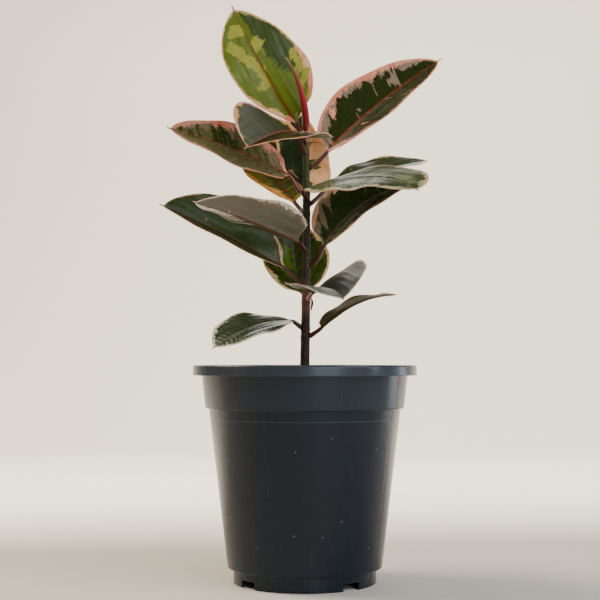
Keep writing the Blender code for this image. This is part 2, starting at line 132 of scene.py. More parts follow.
# Leaf blades and stalks, in mm.
BLADE_THICKNESS = 0.7
MARGIN_THICKNESS = 0.4
MARGIN_REACH = 4.0       # distance from the margin at which the blade has its full thickness
BLADE_RINGS = 100
OVAL_BLUNTNESS = 0.62
BODY_END = 0.965
DRIP_START = 0.88
DRIP_SHARE = 0.09
TIP_HALF_WIDTH = 0.45
WAVE_HEIGHT = 1.2
WAVES = 2.3
WAVE_SHIFT = 0.37
RIB_DEPTH = 1.5
RIB_TAPER = 0.8
RIB_SPREAD = 1.15
GROOVE_DEPTH = 0.22      # dip along the midrib on the upper face
BLEND_END = 0.06
BLEND_CURVE = 1.5
STALK_RINGS = 12
STALK_FOOT_RADIUS = 1.9
STALK_RADIUS = 1.5
STALK_DROP = 0.9
STALK_RISE = 0.5
FIRST_HANDLE = 0.35
LAST_HANDLE = 0.28
SMALL_STEP = 0.02
NEAR_RIB = (0.5, 1.1, 2.0, 3.4)
OUTWARD = (0.1, 0.22, 0.34, 0.46, 0.58, 0.70, 0.81, 0.91, 0.975, 1.0)
NARROW = 8.0             # half width under which the columns by the midrib draw together

# Lateral veins, in mm: they leave the midrib at a slant and bend towards the tip.
VEIN_SLANT = 0.30
VEIN_BEND = 0.004
VEIN_SPACING = 3.6
VEIN_WIDTHS = (0.3, 0.05)         # from its middle, where a vein's colour starts and is full
VEIN_SHOW = 0.07                  # how much of the pale tone the lateral veins take
VEIN_RELIEF = 0.05
MARGIN_VEIN = (2.0, 0.2, 0.1)     # the vein along the margin: its distance, half its width, its show
LEAF_SHIFT = 1000.0      # keeps one leaf's pattern apart from the next one's

# Where a leaf's colours meet. Lengths are in mm; spans are the low and high values of a noise.
FINE_STRIP = 0.75        # the colours fray in strips of this width, each between two fine veins
TOOTH_SIZE = 7.0         # length of the pale margin's larger teeth
TOOTH_SPAN = (0.36, 0.64)
ZONE_LEAST = 0.1         # least and most of the margin's width that margin and pale colour take
ZONE_MOST = (1.7, 2.6)
ZONE_FRAY = 0.3
SOFT_EDGE = (-0.15, 0.15)         # from outside an edge to inside it one colour passes into the other
PATCH_SIZE = 6.0         # width of a patch's streaks, and their length along the veins
PATCH_LENGTH = 22.0
PATCH_CLOUD = 1.2        # how much the streaks, the fingers and the fray shape a patch's edge
PATCH_FINGERS = 0.8
PATCH_FRAY = 0.25
FINGER_SIZE = 3.2        # width of the fingers in which a patch ends
FINGER_SPAN = (0.34, 0.66)
PATCH_LIMIT = 1.75       # level from which a patch shows, and how far a common colour lowers it
PATCH_EASE = 1.1
PATCH_BLUR = 0.03
BLUSH_SPAN = (0.45, 0.6)
BLUSH_RIM = ((0.7, 0.3), (0.0, 0.7))     # the margin's last distances, and how much blush they have
RIB_WIDTHS = (1.1, 0.35)          # half the midrib's coloured width at the blade's base and at its tip
STALK_COLOUR_END = 0.02

# Fine relief and unevenness, in mm unless it is a share.
NOISE_SPAN = (0.3, 0.7)
MOTTLE_SIZE = 5.0
MOTTLE_SHADES = (0.86, 1.12)
MOTTLE_GLOSS = 0.12
LEATHER_GRAIN = 0.9
LEATHER_SHARE = 0.5
FOLD_WIDTH = 8.0         # long low folds along the blade
FOLD_LENGTH = 60.0
FOLD_DEPTH = 1.6
BARK_GRAIN = 1.2
PORE_SPACING = 3.0
PORE_EDGE = ((0.2, 0.12), (0.0, 0.6))     # shares of the spacing from a pore's middle, and how pale it is
SCALE_FIBRE = 0.4
SHEATH_GRAIN = 1.2
STREAK_WIDTH = 14.0
DUST_SPACING = 6.5
DUST_SIZE = 0.32
DUST_FREE = 0.72         # share of the places for dust that are clean
MOULD_GRAIN = 0.8
SEAM_WIDTH = 1.6
SEAM_DEPTH = 0.5
SEAM_ANGLE = 62.0        # degrees from the front to the right
# The mould's neck ring: its height, its width and how much painted highlight it shows as a pale line.
RING_HEIGHT = 119.3
RING_WIDTH = 0.5
RING_HIGHLIGHT = 0.3
PEAT_CRUMB = 1.6
CHIP_PATCH = 9.0
CHIP_FIBRE = 0.9
PERLITE_PIT = 0.5

# Studio floor and backdrop, in mm.
PAPER_SIDE = 6000.0
PAPER_FRONT = -3000.0
CURVE_START = 1300.0
CURVE_RADIUS = 900.0
CURVE_STEPS = 12
PAPER_TOP = 1600.0

# Light and camera, in metres, watts and degrees.
ROOM_COLOUR = "#E6E2D8"
ROOM_STRENGTH = 0.08
PLANT_MIDDLE = (0.0, 0.0, 0.25)
LIGHTS = (
    ("window_left", (-1.3, 0.4, 1.5), PLANT_MIDDLE, (1.0, 1.0), 42.0, "#FFF0D8"),
    ("soft_right", (1.3, -0.9, 1.45), PLANT_MIDDLE, (1.2, 1.2), 21.0, "#FAFAFF"),
    ("front_fill", (0.7, -1.8, 0.6), PLANT_MIDDLE, (1.0, 1.0), 17.0, "#F4F8FF"),
    ("side_window", (1.3, -0.4, 0.35), PLANT_MIDDLE, (0.1, 0.35), 1.8, "#F2F6FF"),
    ("sheen_behind", (-0.2, 1.8, 1.3), PLANT_MIDDLE, (0.9, 0.2), 3.0, "#FFFFFF"),
    ("bounce_right", (0.95, 0.4, 0.22), (0.0, 0.0, 0.1), (0.2, 0.5), 1.6, "#E4EEFF"),
    ("warm_side", (-1.3, -0.5, 0.2), PLANT_MIDDLE, (0.2, 0.6), 0.5, "#FFB070"),
    ("backdrop_wash", (0.4, 0.45, 0.8), (0.2, 2.2, 0.3), (2.8, 0.5), 78.0, "#FFF8EC"),
)
SENSOR_WIDTH = 36.0
LENS = 78.0
CAMERA_PLACE = (-0.00355, -0.962, 0.1612)
CAMERA_TILT = 92.7

# One side of a leaf: its colours in the order of TONES, and how rough its wax is.
TONES = ("dark", "light", "pale", "margin", "blush", "rib", "stalk")
Side = namedtuple("Side", "colours roughness", defaults=(0.22,))
UPPER = Side("#22300F #36451C #5D6A4C #DDBE8C #DD8C70 #7A3428 #4A2418")
UNDER = Side("#5A6148 #6A704F #8C8A6C #D8C9A4 #D9A08C #8A3A30 #4A2A1C", 0.5)

# One leaf, in mm and degrees. Its form: its height on the stem; where stalk and blade meet; the tip; how
# far the middle of the midrib leaves the chord; where the upper face looks; the widths of the left and
# the right half; how far each half is lifted from flat; where along the blade each half is widest; and
# where the margin's waves start. Its looks: the upper side; how much of the blade is lighter and how much
# pale inside the margin; how wide the pale margin is at places along the left and the right half; and its
# larger patches of each kind. A patch has a middle (share of the blade along, share of a half across,
# left of the midrib under 0), a reach along and across, and how strongly it shows. Where they are given:
# the under side, how many times clearer than usual the veins are (paler, which paints highlights along
# their ridges, and in deeper relief), and how far the blade turns from base to tip.
Leaf = namedtuple("Leaf", "name foot base tip bow face half_widths fold widest phase upper lighter paler "
                  "left right light pale margin under clear twist", defaults=((), (), (), UNDER, 1.0, 0))

LEAF_TABLE = (
    Leaf("leaf_01_top_left", 316, (-6.5, -12.5, 336), (-51.5, -63, 409.5), (-2, -5, -2),
         (-0.64, 0.75, 0.17), (35, 26.5), (-8, 0), (0.34, 0.6), 0.1,
         UPPER, 1.4, 0.02, ((0, 2), (0.15, 5), (0.4, 4), (0.5, 1), (0.85, 1), (1, 3)),
         ((0, 3), (0.35, 2.2), (0.5, 0.8), (0.9, 0.9), (1, 4)),
         # The first of these darker patches is painted shade.
         light=((0.66, -0.66, 0.56, 0.62, -3), (0.36, -0.9, 0.2, 0.3, -2)),
         pale=((0.7, 0.62, 0.08, 0.34, 1.6), (0.63, 0.42, 0.09, 0.34, 1.6),
               (0.55, 0.22, 0.08, 0.28, 1.6), (0.45, 0.12, 0.11, 0.22, 1.6), (0.37, 0.33, 0.06, 0.42, 1.5),
               (0.81, 0.35, 0.08, 0.55, 1.5), (0.65, -0.2, 0.09, 0.3, 1.3), (0.27, -0.78, 0.16, 0.2, 1.3)),
         margin=((0.97, 0.2, 0.05, 0.9, 1),),
         # Its under side's bright olive-yellow is partly its own colour and partly painted glow of light
         # shining through the blade.
         under=Side("#2E3E00 #566600 #8E8E2A #E0B07C #DB7A62 #6E3014 #3A2018", 0.24)),
    Leaf("leaf_02_upper_right", 305, (16, 4, 317.5), (105, 24, 393), (-4, 0, 1.5), (-0.25, -0.9, 0.35),
         (31, 31), (2, 38), (0.41, 0.46), 0.4,
         Side("#27320E #322A14 #8C7A66 #EC9E82 #E88C74 #8A3420 #4A1C10"), 0.22, 0.1,
         ((0, 3), (0.2, 3), (0.3, 4), (0.45, 3.5), (0.6, 6), (0.75, 4), (0.9, 2), (1, 1.5)),
         ((0, 4), (0.2, 3), (0.4, 1.2), (0.6, 2), (0.8, 1.2), (1, 1)),
         light=((0.15, 0.5, 0.25, 0.7, 1), (0.6, 0.2, 0.3, 0.3, 0.8)),
         pale=((0.03, -0.5, 0.1, 0.9, 1.2), (0.12, -0.75, 0.07, 0.4, 1.2),
               (0.52, -0.45, 0.03, 0.55, 1), (0.64, -0.36, 0.04, 0.34, 1),
               (0.79, -0.72, 0.03, 0.3, 1), (0.36, -0.22, 0.012, 0.1, 1.2), (0.62, 0.75, 0.12, 0.3, 0.7)),
         margin=((0.19, -0.7, 0.04, 0.36, 1), (0.71, -0.8, 0.03, 0.32, 1),
                 (0.02, 0.7, 0.12, 0.4, 0.9))),
    Leaf("leaf_03_left", 286, (-11.5, -3, 299.5), (-100, -30, 330), (0, -2, 3), (-0.1, -0.74, 0.67),
         (34, 28), (22, 0), (0.45, 0.42), 0.7,
         Side("#38440E #6E6A40 #92806A #F0A48A #EA8A72 #96483A #6A342A"), 0.6, 0.12,
         ((0, 2), (0.5, 1), (0.75, 2.5), (1, 1.5)), ((0, 6), (0.3, 8), (0.6, 6), (0.85, 4.5), (1, 2)),
         light=((0.67, 0.35, 0.06, 0.6, 1), (0.45, -0.55, 0.5, 0.5, 1.2),
                (0.86, 0.1, 0.03, 0.4, 1), (0.12, 0.25, 0.1, 0.4, 0.8)),
         pale=((0.55, -0.2, 0.06, 0.2, 0.7),),
         margin=((0.17, 0.8, 0.15, 0.27, 1.1), (0.8, -0.9, 0.06, 0.25, 1))),
    Leaf("leaf_04_front", 324, (-0.8, -16.8, 326), (-42.5, -62, 309.4), (4.5, 2.9, 7.9),
         (-0.05, -0.37, 0.92), (38.5, 30.2), (3, 56), (0.37, 0.79), 0.2,
         # The orange pale tone, strongest in the patch by the tip of the far half, is the pale margin with
         # painted glow of light shining through it.
         Side("#2E320C #3A4614 #CF9440 #DFA088 #D98C7C #8A4038 #5A2A22", 0.34), 0.42, 0,
         ((0, 1), (0.5, 1.2), (0.9, 2), (1, 3)), ((0, 2), (0.4, 1.5), (0.7, 2.5), (0.9, 2.5), (1, 4)),
         pale=((0.72, 0.92, 0.1, 0.26, 1.1),),
         margin=((0.97, 0.2, 0.05, 1.2, 0.9),),
         twist=-9),
    Leaf("leaf_05_back", 284, (1, 15, 291), (-2, 48, 356), (-1, 0, 0), (0.55, -0.72, 0.35), (27, 24),
         (8, 8), (0.38, 0.36), 0.5,
         # Its bright orange margin and blush are the pale margin with painted glow of light shining through
         # it.
         Side("#1F2C12 #31421A #4A5A20 #FFC084 #F8A468 #33401C #4A2418"), 0.3, 0.1,
         ((0, 1), (0.3, 1.5), (0.6, 3), (1, 3)), ((0, 3), (0.15, 16), (0.4, 20), (0.6, 20), (1, 8)),
         pale=((0.42, 0.6, 0.04, 0.25, 1),),
         margin=((0.52, 0.75, 0.06, 0.3, 0.9),)),
    Leaf("leaf_06_back_left", 272, (-7, 9, 280.5), (-48, 54, 345), (-1, 4, -1), (0.3, -0.78, 0.58),
         (26, 25), (12, 6), (0.46, 0.5), 0.9,
         # Its orange margin and blush are the pale margin with painted glow of light shining through it.
         Side("#4E561E #7A7A28 #9A8030 #E8A850 #E29048 #7A3428 #4A2418"), 0.3, 0.05,
         ((0, 5), (0.15, 7), (0.3, 4), (0.45, 1), (0.8, 2), (1, 3)), ((0, 2), (0.5, 2), (1, 3)),
         light=((0.35, -0.62, 0.3, 0.42, 1.2),),
         pale=((0.12, -0.5, 0.06, 0.3, 0.8),)),
    Leaf("leaf_07_front_right", 282, (-1, -12.5, 287), (79, -64, 279.5), (10, 3, 10), (0, -0.42, 0.9),
         (30, 30), (2, -1), (0.6, 0.45), 0.3,
         Side("#465030 #80885A #A8A880 #E2CC94 #D8AC84 #5A6440 #4A2418", 0.33), 0.25, 0.1,
         ((0, 1), (0.6, 1.5), (0.8, 3), (1, 4)), ((0, 4), (0.2, 3.5), (0.6, 3), (0.9, 3), (1, 3)),
         light=((0.34, 0.35, 0.07, 0.6, 1), (0.55, 0.3, 0.09, 0.6, 1),
                (0.75, -0.2, 0.2, 0.5, 0.7), (0.45, -0.4, 0.08, 0.5, 0.7)),
         # Its clearer, paler veins are partly painted highlight along their ridges.
         clear=1.8),
    Leaf("leaf_08_right", 278, (21, 16, 295), (98.5, 56, 320), (0, 0, 2), (-0.1, -0.35, 0.95), (26, 26),
         (8, 8), (0.55, 0.5), 0.6,
         Side("#303A1C #444E2A #6A7050 #E2D4A0 #D8B284 #3C4828 #4A2418", 0.27), 0.35, 0.12,
         ((0, 0.8), (0.55, 0.8), (0.7, 3), (0.9, 3), (1, 3)), ((0, 1), (0.5, 1.5), (1, 3)),
         margin=((0.93, 0.3, 0.05, 0.7, 0.9),)),
    Leaf("leaf_09_dark_right", 232, (14, -4, 246.5), (79.5, -9, 292), (-5, 0, 7), (-0.25, -0.92, 0.3),
         (27, 28), (2, 50), (0.38, 0.44), 0.8,
         Side("#2A3818 #424A2C #86765E #E0B890 #D89478 #6A5240 #4A2418"), 0.25, 0.08,
         ((0, 3), (0.3, 3.5), (0.6, 3), (1, 2)), ((0, 1), (0.25, 2), (0.4, 3.5), (0.7, 3), (1, 2)),
         pale=((0.06, -0.62, 0.12, 0.5, 1.1), (0.22, -0.62, 0.03, 0.3, 0.9),
               (0.57, -0.4, 0.02, 0.5, 1)),
         margin=((0.27, -0.86, 0.09, 0.22, 1),)),
    Leaf("leaf_10_left", 219, (-15, 1, 231), (-107.5, -8, 277), (0, 0, 2), (0.1, -0.95, 0.3), (27, 28),
         (60, 2), (0.45, 0.48), 0.15,
         Side("#34460A #4A3C28 #5A5034 #E2C498 #D89C7C #5A3A22 #4A3020", 0.32), 0, 0,
         ((0, 1), (0.6, 0.8), (1, 1)), ((0, 3), (0.1, 2), (0.3, 0.8), (0.6, 0.8), (1, 1)),
         light=((0.5, -0.6, 0.7, 0.62, 1.4),),
         pale=((0.09, 0.5, 0.035, 0.7, 1.1), (0.97, 0.1, 0.05, 0.9, 1)),
         margin=((0.03, 0.72, 0.05, 0.5, 1),)),
    Leaf("leaf_11_front_left", 244, (-5.5, -10, 250), (-78, -66, 272), (0, -2, 2), (-0.14, 0.44, 0.82),
         (27, 28), (2, 33), (0.34, 0.46), 0.45,
         UPPER, 1.5, 0, ((0, 1.5), (0.3, 3), (0.5, 2), (0.7, 0.6), (1, 1)), ((0, 1), (0.5, 2), (1, 2)),
         light=((0.68, -0.55, 0.07, 0.32, -1.2), (0.9, -0.4, 0.06, 0.4, -0.8)),
         pale=((0.4, -0.85, 0.07, 0.2, 1),),
         # The near-white margin patch on the right half is partly the real pale margin and partly painted
         # sheen of the glossy curled flap.
         margin=((0.66, 0.75, 0.45, 0.95, 1.9),),
         under=Side("#54524A #6E6A5A #8A7866 #F0ECE0 #C8B8A4 #6A4230 #4A2A1C", 0.42)),
    Leaf("leaf_12_back_low", 206, (-1, 8, 212), (-8, 36, 272), (-3, 4, 0), (0.1, -0.9, 0.45), (26, 26),
         (12, 12), (0.42, 0.42), 0.75,
         Side("#2A3A06 #486808 #5A6034 #E6CC94 #DCA474 #2C3A14 #4A2418"), 0.2, 0.05,
         ((0, 1), (0.2, 3.5), (0.4, 1.5), (1, 2)), ((0, 2), (0.3, 1.5), (0.7, 2), (1, 2)),
         light=((0.4, -0.3, 0.28, 0.36, 1.1),)),
    Leaf("leaf_13_front_low", 207, (6, -12, 212.5), (26, -80, 203), (2, 0, 5), (-0.1, -0.15, 1), (31, 31),
         (32, 14), (0.5, 0.42), 0.35,
         Side("#3C443C #4C544A #A8B0A4 #D6C4B0 #CDA896 #4A5044 #B88A80", 0.32), 0.4, 0,
         ((0, 1), (0.5, 1.2), (1, 1.2)), ((0, 1), (0.5, 1), (1, 1.5)),
         # Its clearer, paler veins are partly painted highlight along their ridges.
         clear=4.5),
    Leaf("leaf_14_low_right", 180, (11, -3, 186), (67, -30, 209), (0, -2, 7), (-0.2, 0.02, 0.95), (20, 20),
         (6, 6), (0.46, 0.46), 0.55,
         UPPER, 0.4, 0, ((0, 0.6), (0.5, 0.6), (1, 0.6)), ((0, 0.6), (0.5, 0.6), (1, 0.6)),
         under=Side("#463E1C #564E26 #5C5030 #6A5A34 #66502E #4A3A20 #3A2416", 0.5)),
    Leaf("leaf_15_low_left", 186.5, (-9, -3, 191.5), (-66.5, -36, 170), (0, -3, 6), (-0.15, -0.5, 0.85),
         (21, 23), (6, 4), (0.5, 0.6), 0.85,
         Side("#26341A #34422A #B0B8A4 #E2CC98 #D8B48C #5A5C48 #3A2218"), 0.35, 0,
         ((0, 0.6), (0.5, 0.8), (1, 1)), ((0, 0.6), (0.6, 0.8), (0.8, 2.2), (1, 2)),
         # Its clearer, paler veins are partly painted highlight along their ridges.
         clear=3.2),
)

# The leaves as the functions use them: places and directions as vectors.
PLACES = ("base", "tip", "bow", "face")
LEAVES = [leaf._replace(**{name: Vector(getattr(leaf, name)) for name in PLACES}) for leaf in LEAF_TABLE]


def linear(colour):
    """An sRGB hex colour as linear red, green, blue and alpha."""
    channels = []
    for start in (1, 3, 5):
        value = int(colour[start:start + 2], 16) / 255
        channels.append(value / 12.92 if value <= 0.04045 else ((value + 0.055) / 1.055) ** 2.4)
    return (*channels, 1.0)


def add(tree, kind, inputs, **settings):
    """A node with its settings and its inputs: values, hex colours, outputs or nodes' first outputs."""
    node = tree.nodes.new("ShaderNode" + kind)
    for name, value in settings.items():
        setattr(node, name, value)
    for key, value in inputs.items():
        if isinstance(value, str):
            value = linear(value)
        if isinstance(value, bpy.types.Node):
            value = value.outputs[0]
        if isinstance(value, bpy.types.NodeSocket):
            tree.links.new(value, node.inputs[key])
        else:
            node.inputs[key].default_value = value
    return node


def calc(tree, operation, *values):
    """Arithmetic on values and outputs."""
    return add(tree, "Math", dict(enumerate(values)), operation=operation)


def remap(tree, value, span=(0.0, 1.0), to=(0.0, 1.0)):
    """A value carried from one span to another."""
    return add(tree, "MapRange", dict(enumerate((value, *span, *to))))


def mix(tree, share, first, second):
    """A colour between two others."""
    return add(tree, "MixRGB", {0: share, 1: first, 2: second})


def shaded(tree, colour, noise_value, to):
    """A colour made darker and lighter by a noise, within two limits."""
    return add(tree, "HueSaturation", {"Value": remap(tree, noise_value, NOISE_SPAN, to), "Color": colour})


def ramp(tree, share, *stops):
    """Colours that follow each other along a share, each with the place where it stands."""
    node = add(tree, "ValToRGB", {0: share})
    while len(node.color_ramp.elements) < len(stops):
        node.color_ramp.elements.new(0.5)
    for element, (position, colour) in zip(node.color_ramp.elements, stops):
        element.position = position
        element.color = linear(colour)
    return node


def grains(tree, place, size, detail, roughness=0.5):
    """Soft noise whose largest grains have about this size, in the unit of the place."""
    inputs = {"Vector": place, "Scale": 1 / size, "Detail": detail, "Roughness": roughness}
    return add(tree, "TexNoise", inputs)


def three(tree, node):
    """The red, green and blue of a noise: three patterns that differ."""
    return add(tree, "SeparateColor", {0: node.outputs["Color"]}).outputs


def held(tree, name):
    """The three numbers that a mesh holds at its points under a name, and their vector."""
    vector = add(tree, "Attribute", {}, attribute_name=name).outputs["Vector"]
    return (*add(tree, "SeparateXYZ", {0: vector}).outputs, vector)


def on_piece(tree, upward=None):
    """The place on the piece in metres. Its heights may be multiplied, which draws a pattern out upwards."""
    place = add(tree, "TexCoord", {}).outputs["Object"]
    return add(tree, "Mapping", {0: place, "Scale": (1.0, 1.0, upward)}).outputs[0] if upward else place


def relief(tree, height, depth, strength=1.0, **under):
    """A bump of a depth in mm, over another one if that is given as its Normal."""
    return add(tree, "Bump", {"Strength": strength, "Distance": depth * MM, "Height": height, **under})


def new_material(name, **values):
    """A material and its node tree, with the plain values of its one shader."""
    made = bpy.data.materials.new(name)
    made.use_nodes = True
    shader = made.node_tree.nodes["Principled BSDF"]
    for socket, value in values.items():
        shader.inputs[socket.replace("_", " ")].default_value = value
    return made, made.node_tree


def dress(made, **nodes):
    """The material with nodes linked to its shader."""
    shader = made.node_tree.nodes["Principled BSDF"]
    for socket, node in nodes.items():
        made.node_tree.links.new(node.outputs[0], shader.inputs[socket.replace("_", " ")])
    return made


def add_mesh(name, points, faces, surfaces, attributes=None, sharp_angle=SHARP_ANGLE, surface_numbers=None):
    """A named object from points in mm and faces that look outwards."""
    mesh = bpy.data.meshes.new(name)
    mesh.from_pydata([Vector(point) * MM for point in points], [], faces)
    for surface in surfaces:
        mesh.materials.append(surface)
    if surface_numbers:
        mesh.polygons.foreach_set("material_index", surface_numbers)
    for label, values in (attributes or {}).items():
        made = mesh.attributes.new(label, "FLOAT_VECTOR", "POINT")
        made.data.foreach_set("vector", [number for value in values for number in value])
    mesh.shade_smooth()
    mesh.set_sharp_from_angle(angle=math.radians(sharp_angle))
    piece = bpy.data.objects.new(name, mesh)
    bpy.context.scene.collection.objects.link(piece)
    return piece


def settle(piece, node):
    """Puts a finished piece in the place of its plain solid."""
    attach(piece, "root")
    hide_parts(node)


def loft_faces(ring_count, count):
    """Quads between rings of equal count, and one face over each end."""
    faces = []
    for row in range(ring_count - 1):
        here = row * count
        for column in range(count):
            after = (column + 1) % count
            faces.append((here + column, here + after, here + count + after, here + count + column))
    faces.append(tuple(range(count))[::-1])
    last = (ring_count - 1) * count
    faces.append(tuple(range(last, last + count)))
    return faces


def add_rod(name, rings, surface, node, held_numbers=None):
    """A closed piece from its rings, in the place of its plain solid."""
    points = [point for ring in rings for point in ring]
    piece = add_mesh(name, points, loft_faces(len(rings), len(rings[0])), [surface], held_numbers)
    settle(piece, node)


def circle(centre, radius, count, side=RIGHTWARDS, up=BACKWARDS):
    """Points round a centre, anticlockwise from the side direction towards the up direction."""
    ring = []
    for step in range(count):
        angle = 2 * math.pi * step / count
        ring.append(centre + side * (radius * math.cos(angle)) + up * (radius * math.sin(angle)))
    return ring


def bezier(route, share):
    """A point on the smooth curve that four points steer."""
    first, second, third, fourth = (Vector(point) for point in route)
    rest = 1.0 - share
    return (first * rest ** 3 + second * (3 * rest ** 2 * share)
            + third * (3 * rest * share ** 2) + fourth * share ** 3)


def bezier_heading(route, share):
    """The direction in which that curve runs."""
    before = bezier(route, max(share - SMALL_STEP, 0.0))
    after = bezier(route, min(share + SMALL_STEP, 1.0))
    return (after - before).normalized()


def between(stops, place):
    """The value at a place in a list of (place, value) stops."""
    for (low, value), (high, next_value) in zip(stops, stops[1:]):
        if place <= high:
            return value + (next_value - value) * max(place - low, 0.0) / (high - low)
    return stops[-1][1]


def stem_share(height):
    """Where a height lies between the pot's rim, at 0, and the stem's top, at 1."""
    return min(max((height - POT_HEIGHT) / (STEM_TOP - POT_HEIGHT), 0.0), 1.0)


def stem_centre(height):
    """The stem's axis at a height: it swings a little to the right and back."""
    return Vector((STEM_BEND * math.sin(math.pi * STEM_BEND_TURN * stem_share(height)), 0.0, height))


def stem_radius(height):
    """The stem's radius at a height, with a low ring where each leaf joins."""
    radius = STEM_LOW_RADIUS + (STEM_TOP_RADIUS - STEM_LOW_RADIUS) * stem_share(height)
    nearest = min(abs(height - leaf.foot + NODE_UNDER) for leaf in LEAVES)
    return radius + NODE_SWELL * math.exp(-(nearest / NODE_SPREAD) ** 2)


def midrib_point(leaf, along):
    """A point on the midrib, from 0 at the blade's base to 1 at its tip."""
    steer = (leaf.base + leaf.tip) / 2 + leaf.bow * 2
    rest = 1.0 - along
    return leaf.base * rest ** 2 + steer * (2 * rest * along) + leaf.tip * along ** 2


def midrib_frame(leaf, along):
    """Directions ahead along the midrib, to the right across the blade, and out of its upper face."""
    steer = (leaf.base + leaf.tip) / 2 + leaf.bow * 2
    ahead = (steer - leaf.base) * (1.0 - along) + (leaf.tip - steer) * along
    ahead.normalize()
    up = (leaf.face - ahead * leaf.face.dot(ahead)).normalized()
    right = ahead.cross(up)
    turn = math.radians(leaf.twist) * (along - 0.5)
    turned_up = up * math.cos(turn) - right * math.sin(turn)
    turned_right = right * math.cos(turn) + up * math.sin(turn)
    return ahead, turned_right, turned_up


def half_width(leaf, along, half):
    """Width of one half at a place: an oval that runs out into a short drip tip."""
    stretch = math.log(0.5) / math.log(leaf.widest[half] / BODY_END)
    place = min(along / BODY_END, 1.0) ** stretch
    share = max(math.sin(math.pi * place), 0.0) ** OVAL_BLUNTNESS
    if along > DRIP_START:
        drip = DRIP_SHARE * (1.0 - along) / (1.0 - DRIP_START)
        share = (share ** 3 + drip ** 3) ** (1 / 3)
    return max(leaf.half_widths[half] * share, TIP_HALF_WIDTH)


def blade_row(leaf, along):
    """A row over the upper face, left to right: points, and their distances from midrib and margin."""
    _, right, up = midrib_frame(leaf, along)
    centre = midrib_point(leaf, along)
    left_row = []
    right_row = []
    for half, row in ((0, left_row), (1, right_row)):
        reach = max(half_width(leaf, along, half), STALK_RADIUS * (1 - along / BLEND_END))
        tilt = math.radians(leaf.fold[half])
        ripple = math.sin(2 * math.pi * (WAVES * along + leaf.phase + WAVE_SHIFT * half))
        near = [step * min(reach / NARROW, 1.0) for step in NEAR_RIB]
        offsets = near + [near[-1] + (reach - near[-1]) * share for share in OUTWARD]
        way = 1 if half else -1
        for offset in offsets:
            lift = offset * math.sin(tilt)
            lift += WAVE_HEIGHT * ripple * (offset / reach) ** 2 * math.sin(math.pi * along)
            point = centre + right * (way * offset * math.cos(tilt)) + up * lift
            row.append((point, way * offset, reach - offset))
    middle = (centre, 0.0, min(left_row[-1][1] * -1, right_row[-1][1]))
    return left_row[::-1] + [middle] + right_row


def stalk_ring(centre, right, up, radius, count):
    """A round section that starts at the left margin and runs over the upper side first."""
    ring = []
    for step in range(count):
        angle = math.pi - (step + 0.5) * 2 * math.pi / count
        ring.append(centre + (right * math.cos(angle) + up * math.sin(angle)) * radius)
    return ring


def seat_on_stem(point, heading, leaf):
    """Move a point of the stalk's foot along the stalk until it lies just off the stem's skin."""
    axis = stem_centre(leaf.foot)
    radius = stem_radius(leaf.foot - NODE_UNDER) + 2 * GAP
    offset = Vector((point.x - axis.x, point.y - axis.y))
    flat = Vector((heading.x, heading.y))
    slope = flat.dot(flat)
    half = offset.dot(flat)
    inside = max(half ** 2 - slope * (offset.dot(offset) - radius ** 2), 0.0)
    return point + heading * ((-half + math.sqrt(inside)) / slope)


def stalk_rings(leaf, count):
    """Round sections of the stalk, from its foot on the stem to the blade's base."""
    ahead, _, up = midrib_frame(leaf, 0.0)
    end = midrib_point(leaf, 0.0) - up * STALK_DROP
    axis = stem_centre(leaf.foot)
    outward = Vector((end.x - axis.x, end.y - axis.y, 0)).normalized()
    start = axis + outward * stem_radius(leaf.foot)
    reach = (end - start).length
    leave = (outward + Vector((0, 0, STALK_RISE))).normalized()
    route = (start, start + leave * (FIRST_HANDLE * reach), end - ahead * (LAST_HANDLE * reach), end)
    rings = []
    for step in range(STALK_RINGS, -1, -1):
        share = step / (STALK_RINGS + 1)
        heading = bezier_heading(route, share)
        up = (up - heading * up.dot(heading)).normalized()
        radius = STALK_RADIUS + (STALK_FOOT_RADIUS - STALK_RADIUS) * (1 - share) ** 2
        ring = stalk_ring(bezier(route, share), heading.cross(up), up, radius, count)
        if step == 0:
            ring = [seat_on_stem(point, heading, leaf) for point in ring]
        rings.append(ring)
    return rings[::-1]


def patch_strengths(leaf, run, across):
    """How strongly a leaf's patches call for light, pale and margin colour at a place on the blade."""
    strengths = []
    for patches in (leaf.light, leaf.pale, leaf.margin):
        total = 0.0
        for middle_run, middle_across, reach_run, reach_across, strength in patches:
            distance = math.hypot((run - middle_run) / reach_run, (across - middle_across) / reach_across)
            total += strength * max(1.0 - distance, 0.0)
        strengths.append(total)
    return strengths


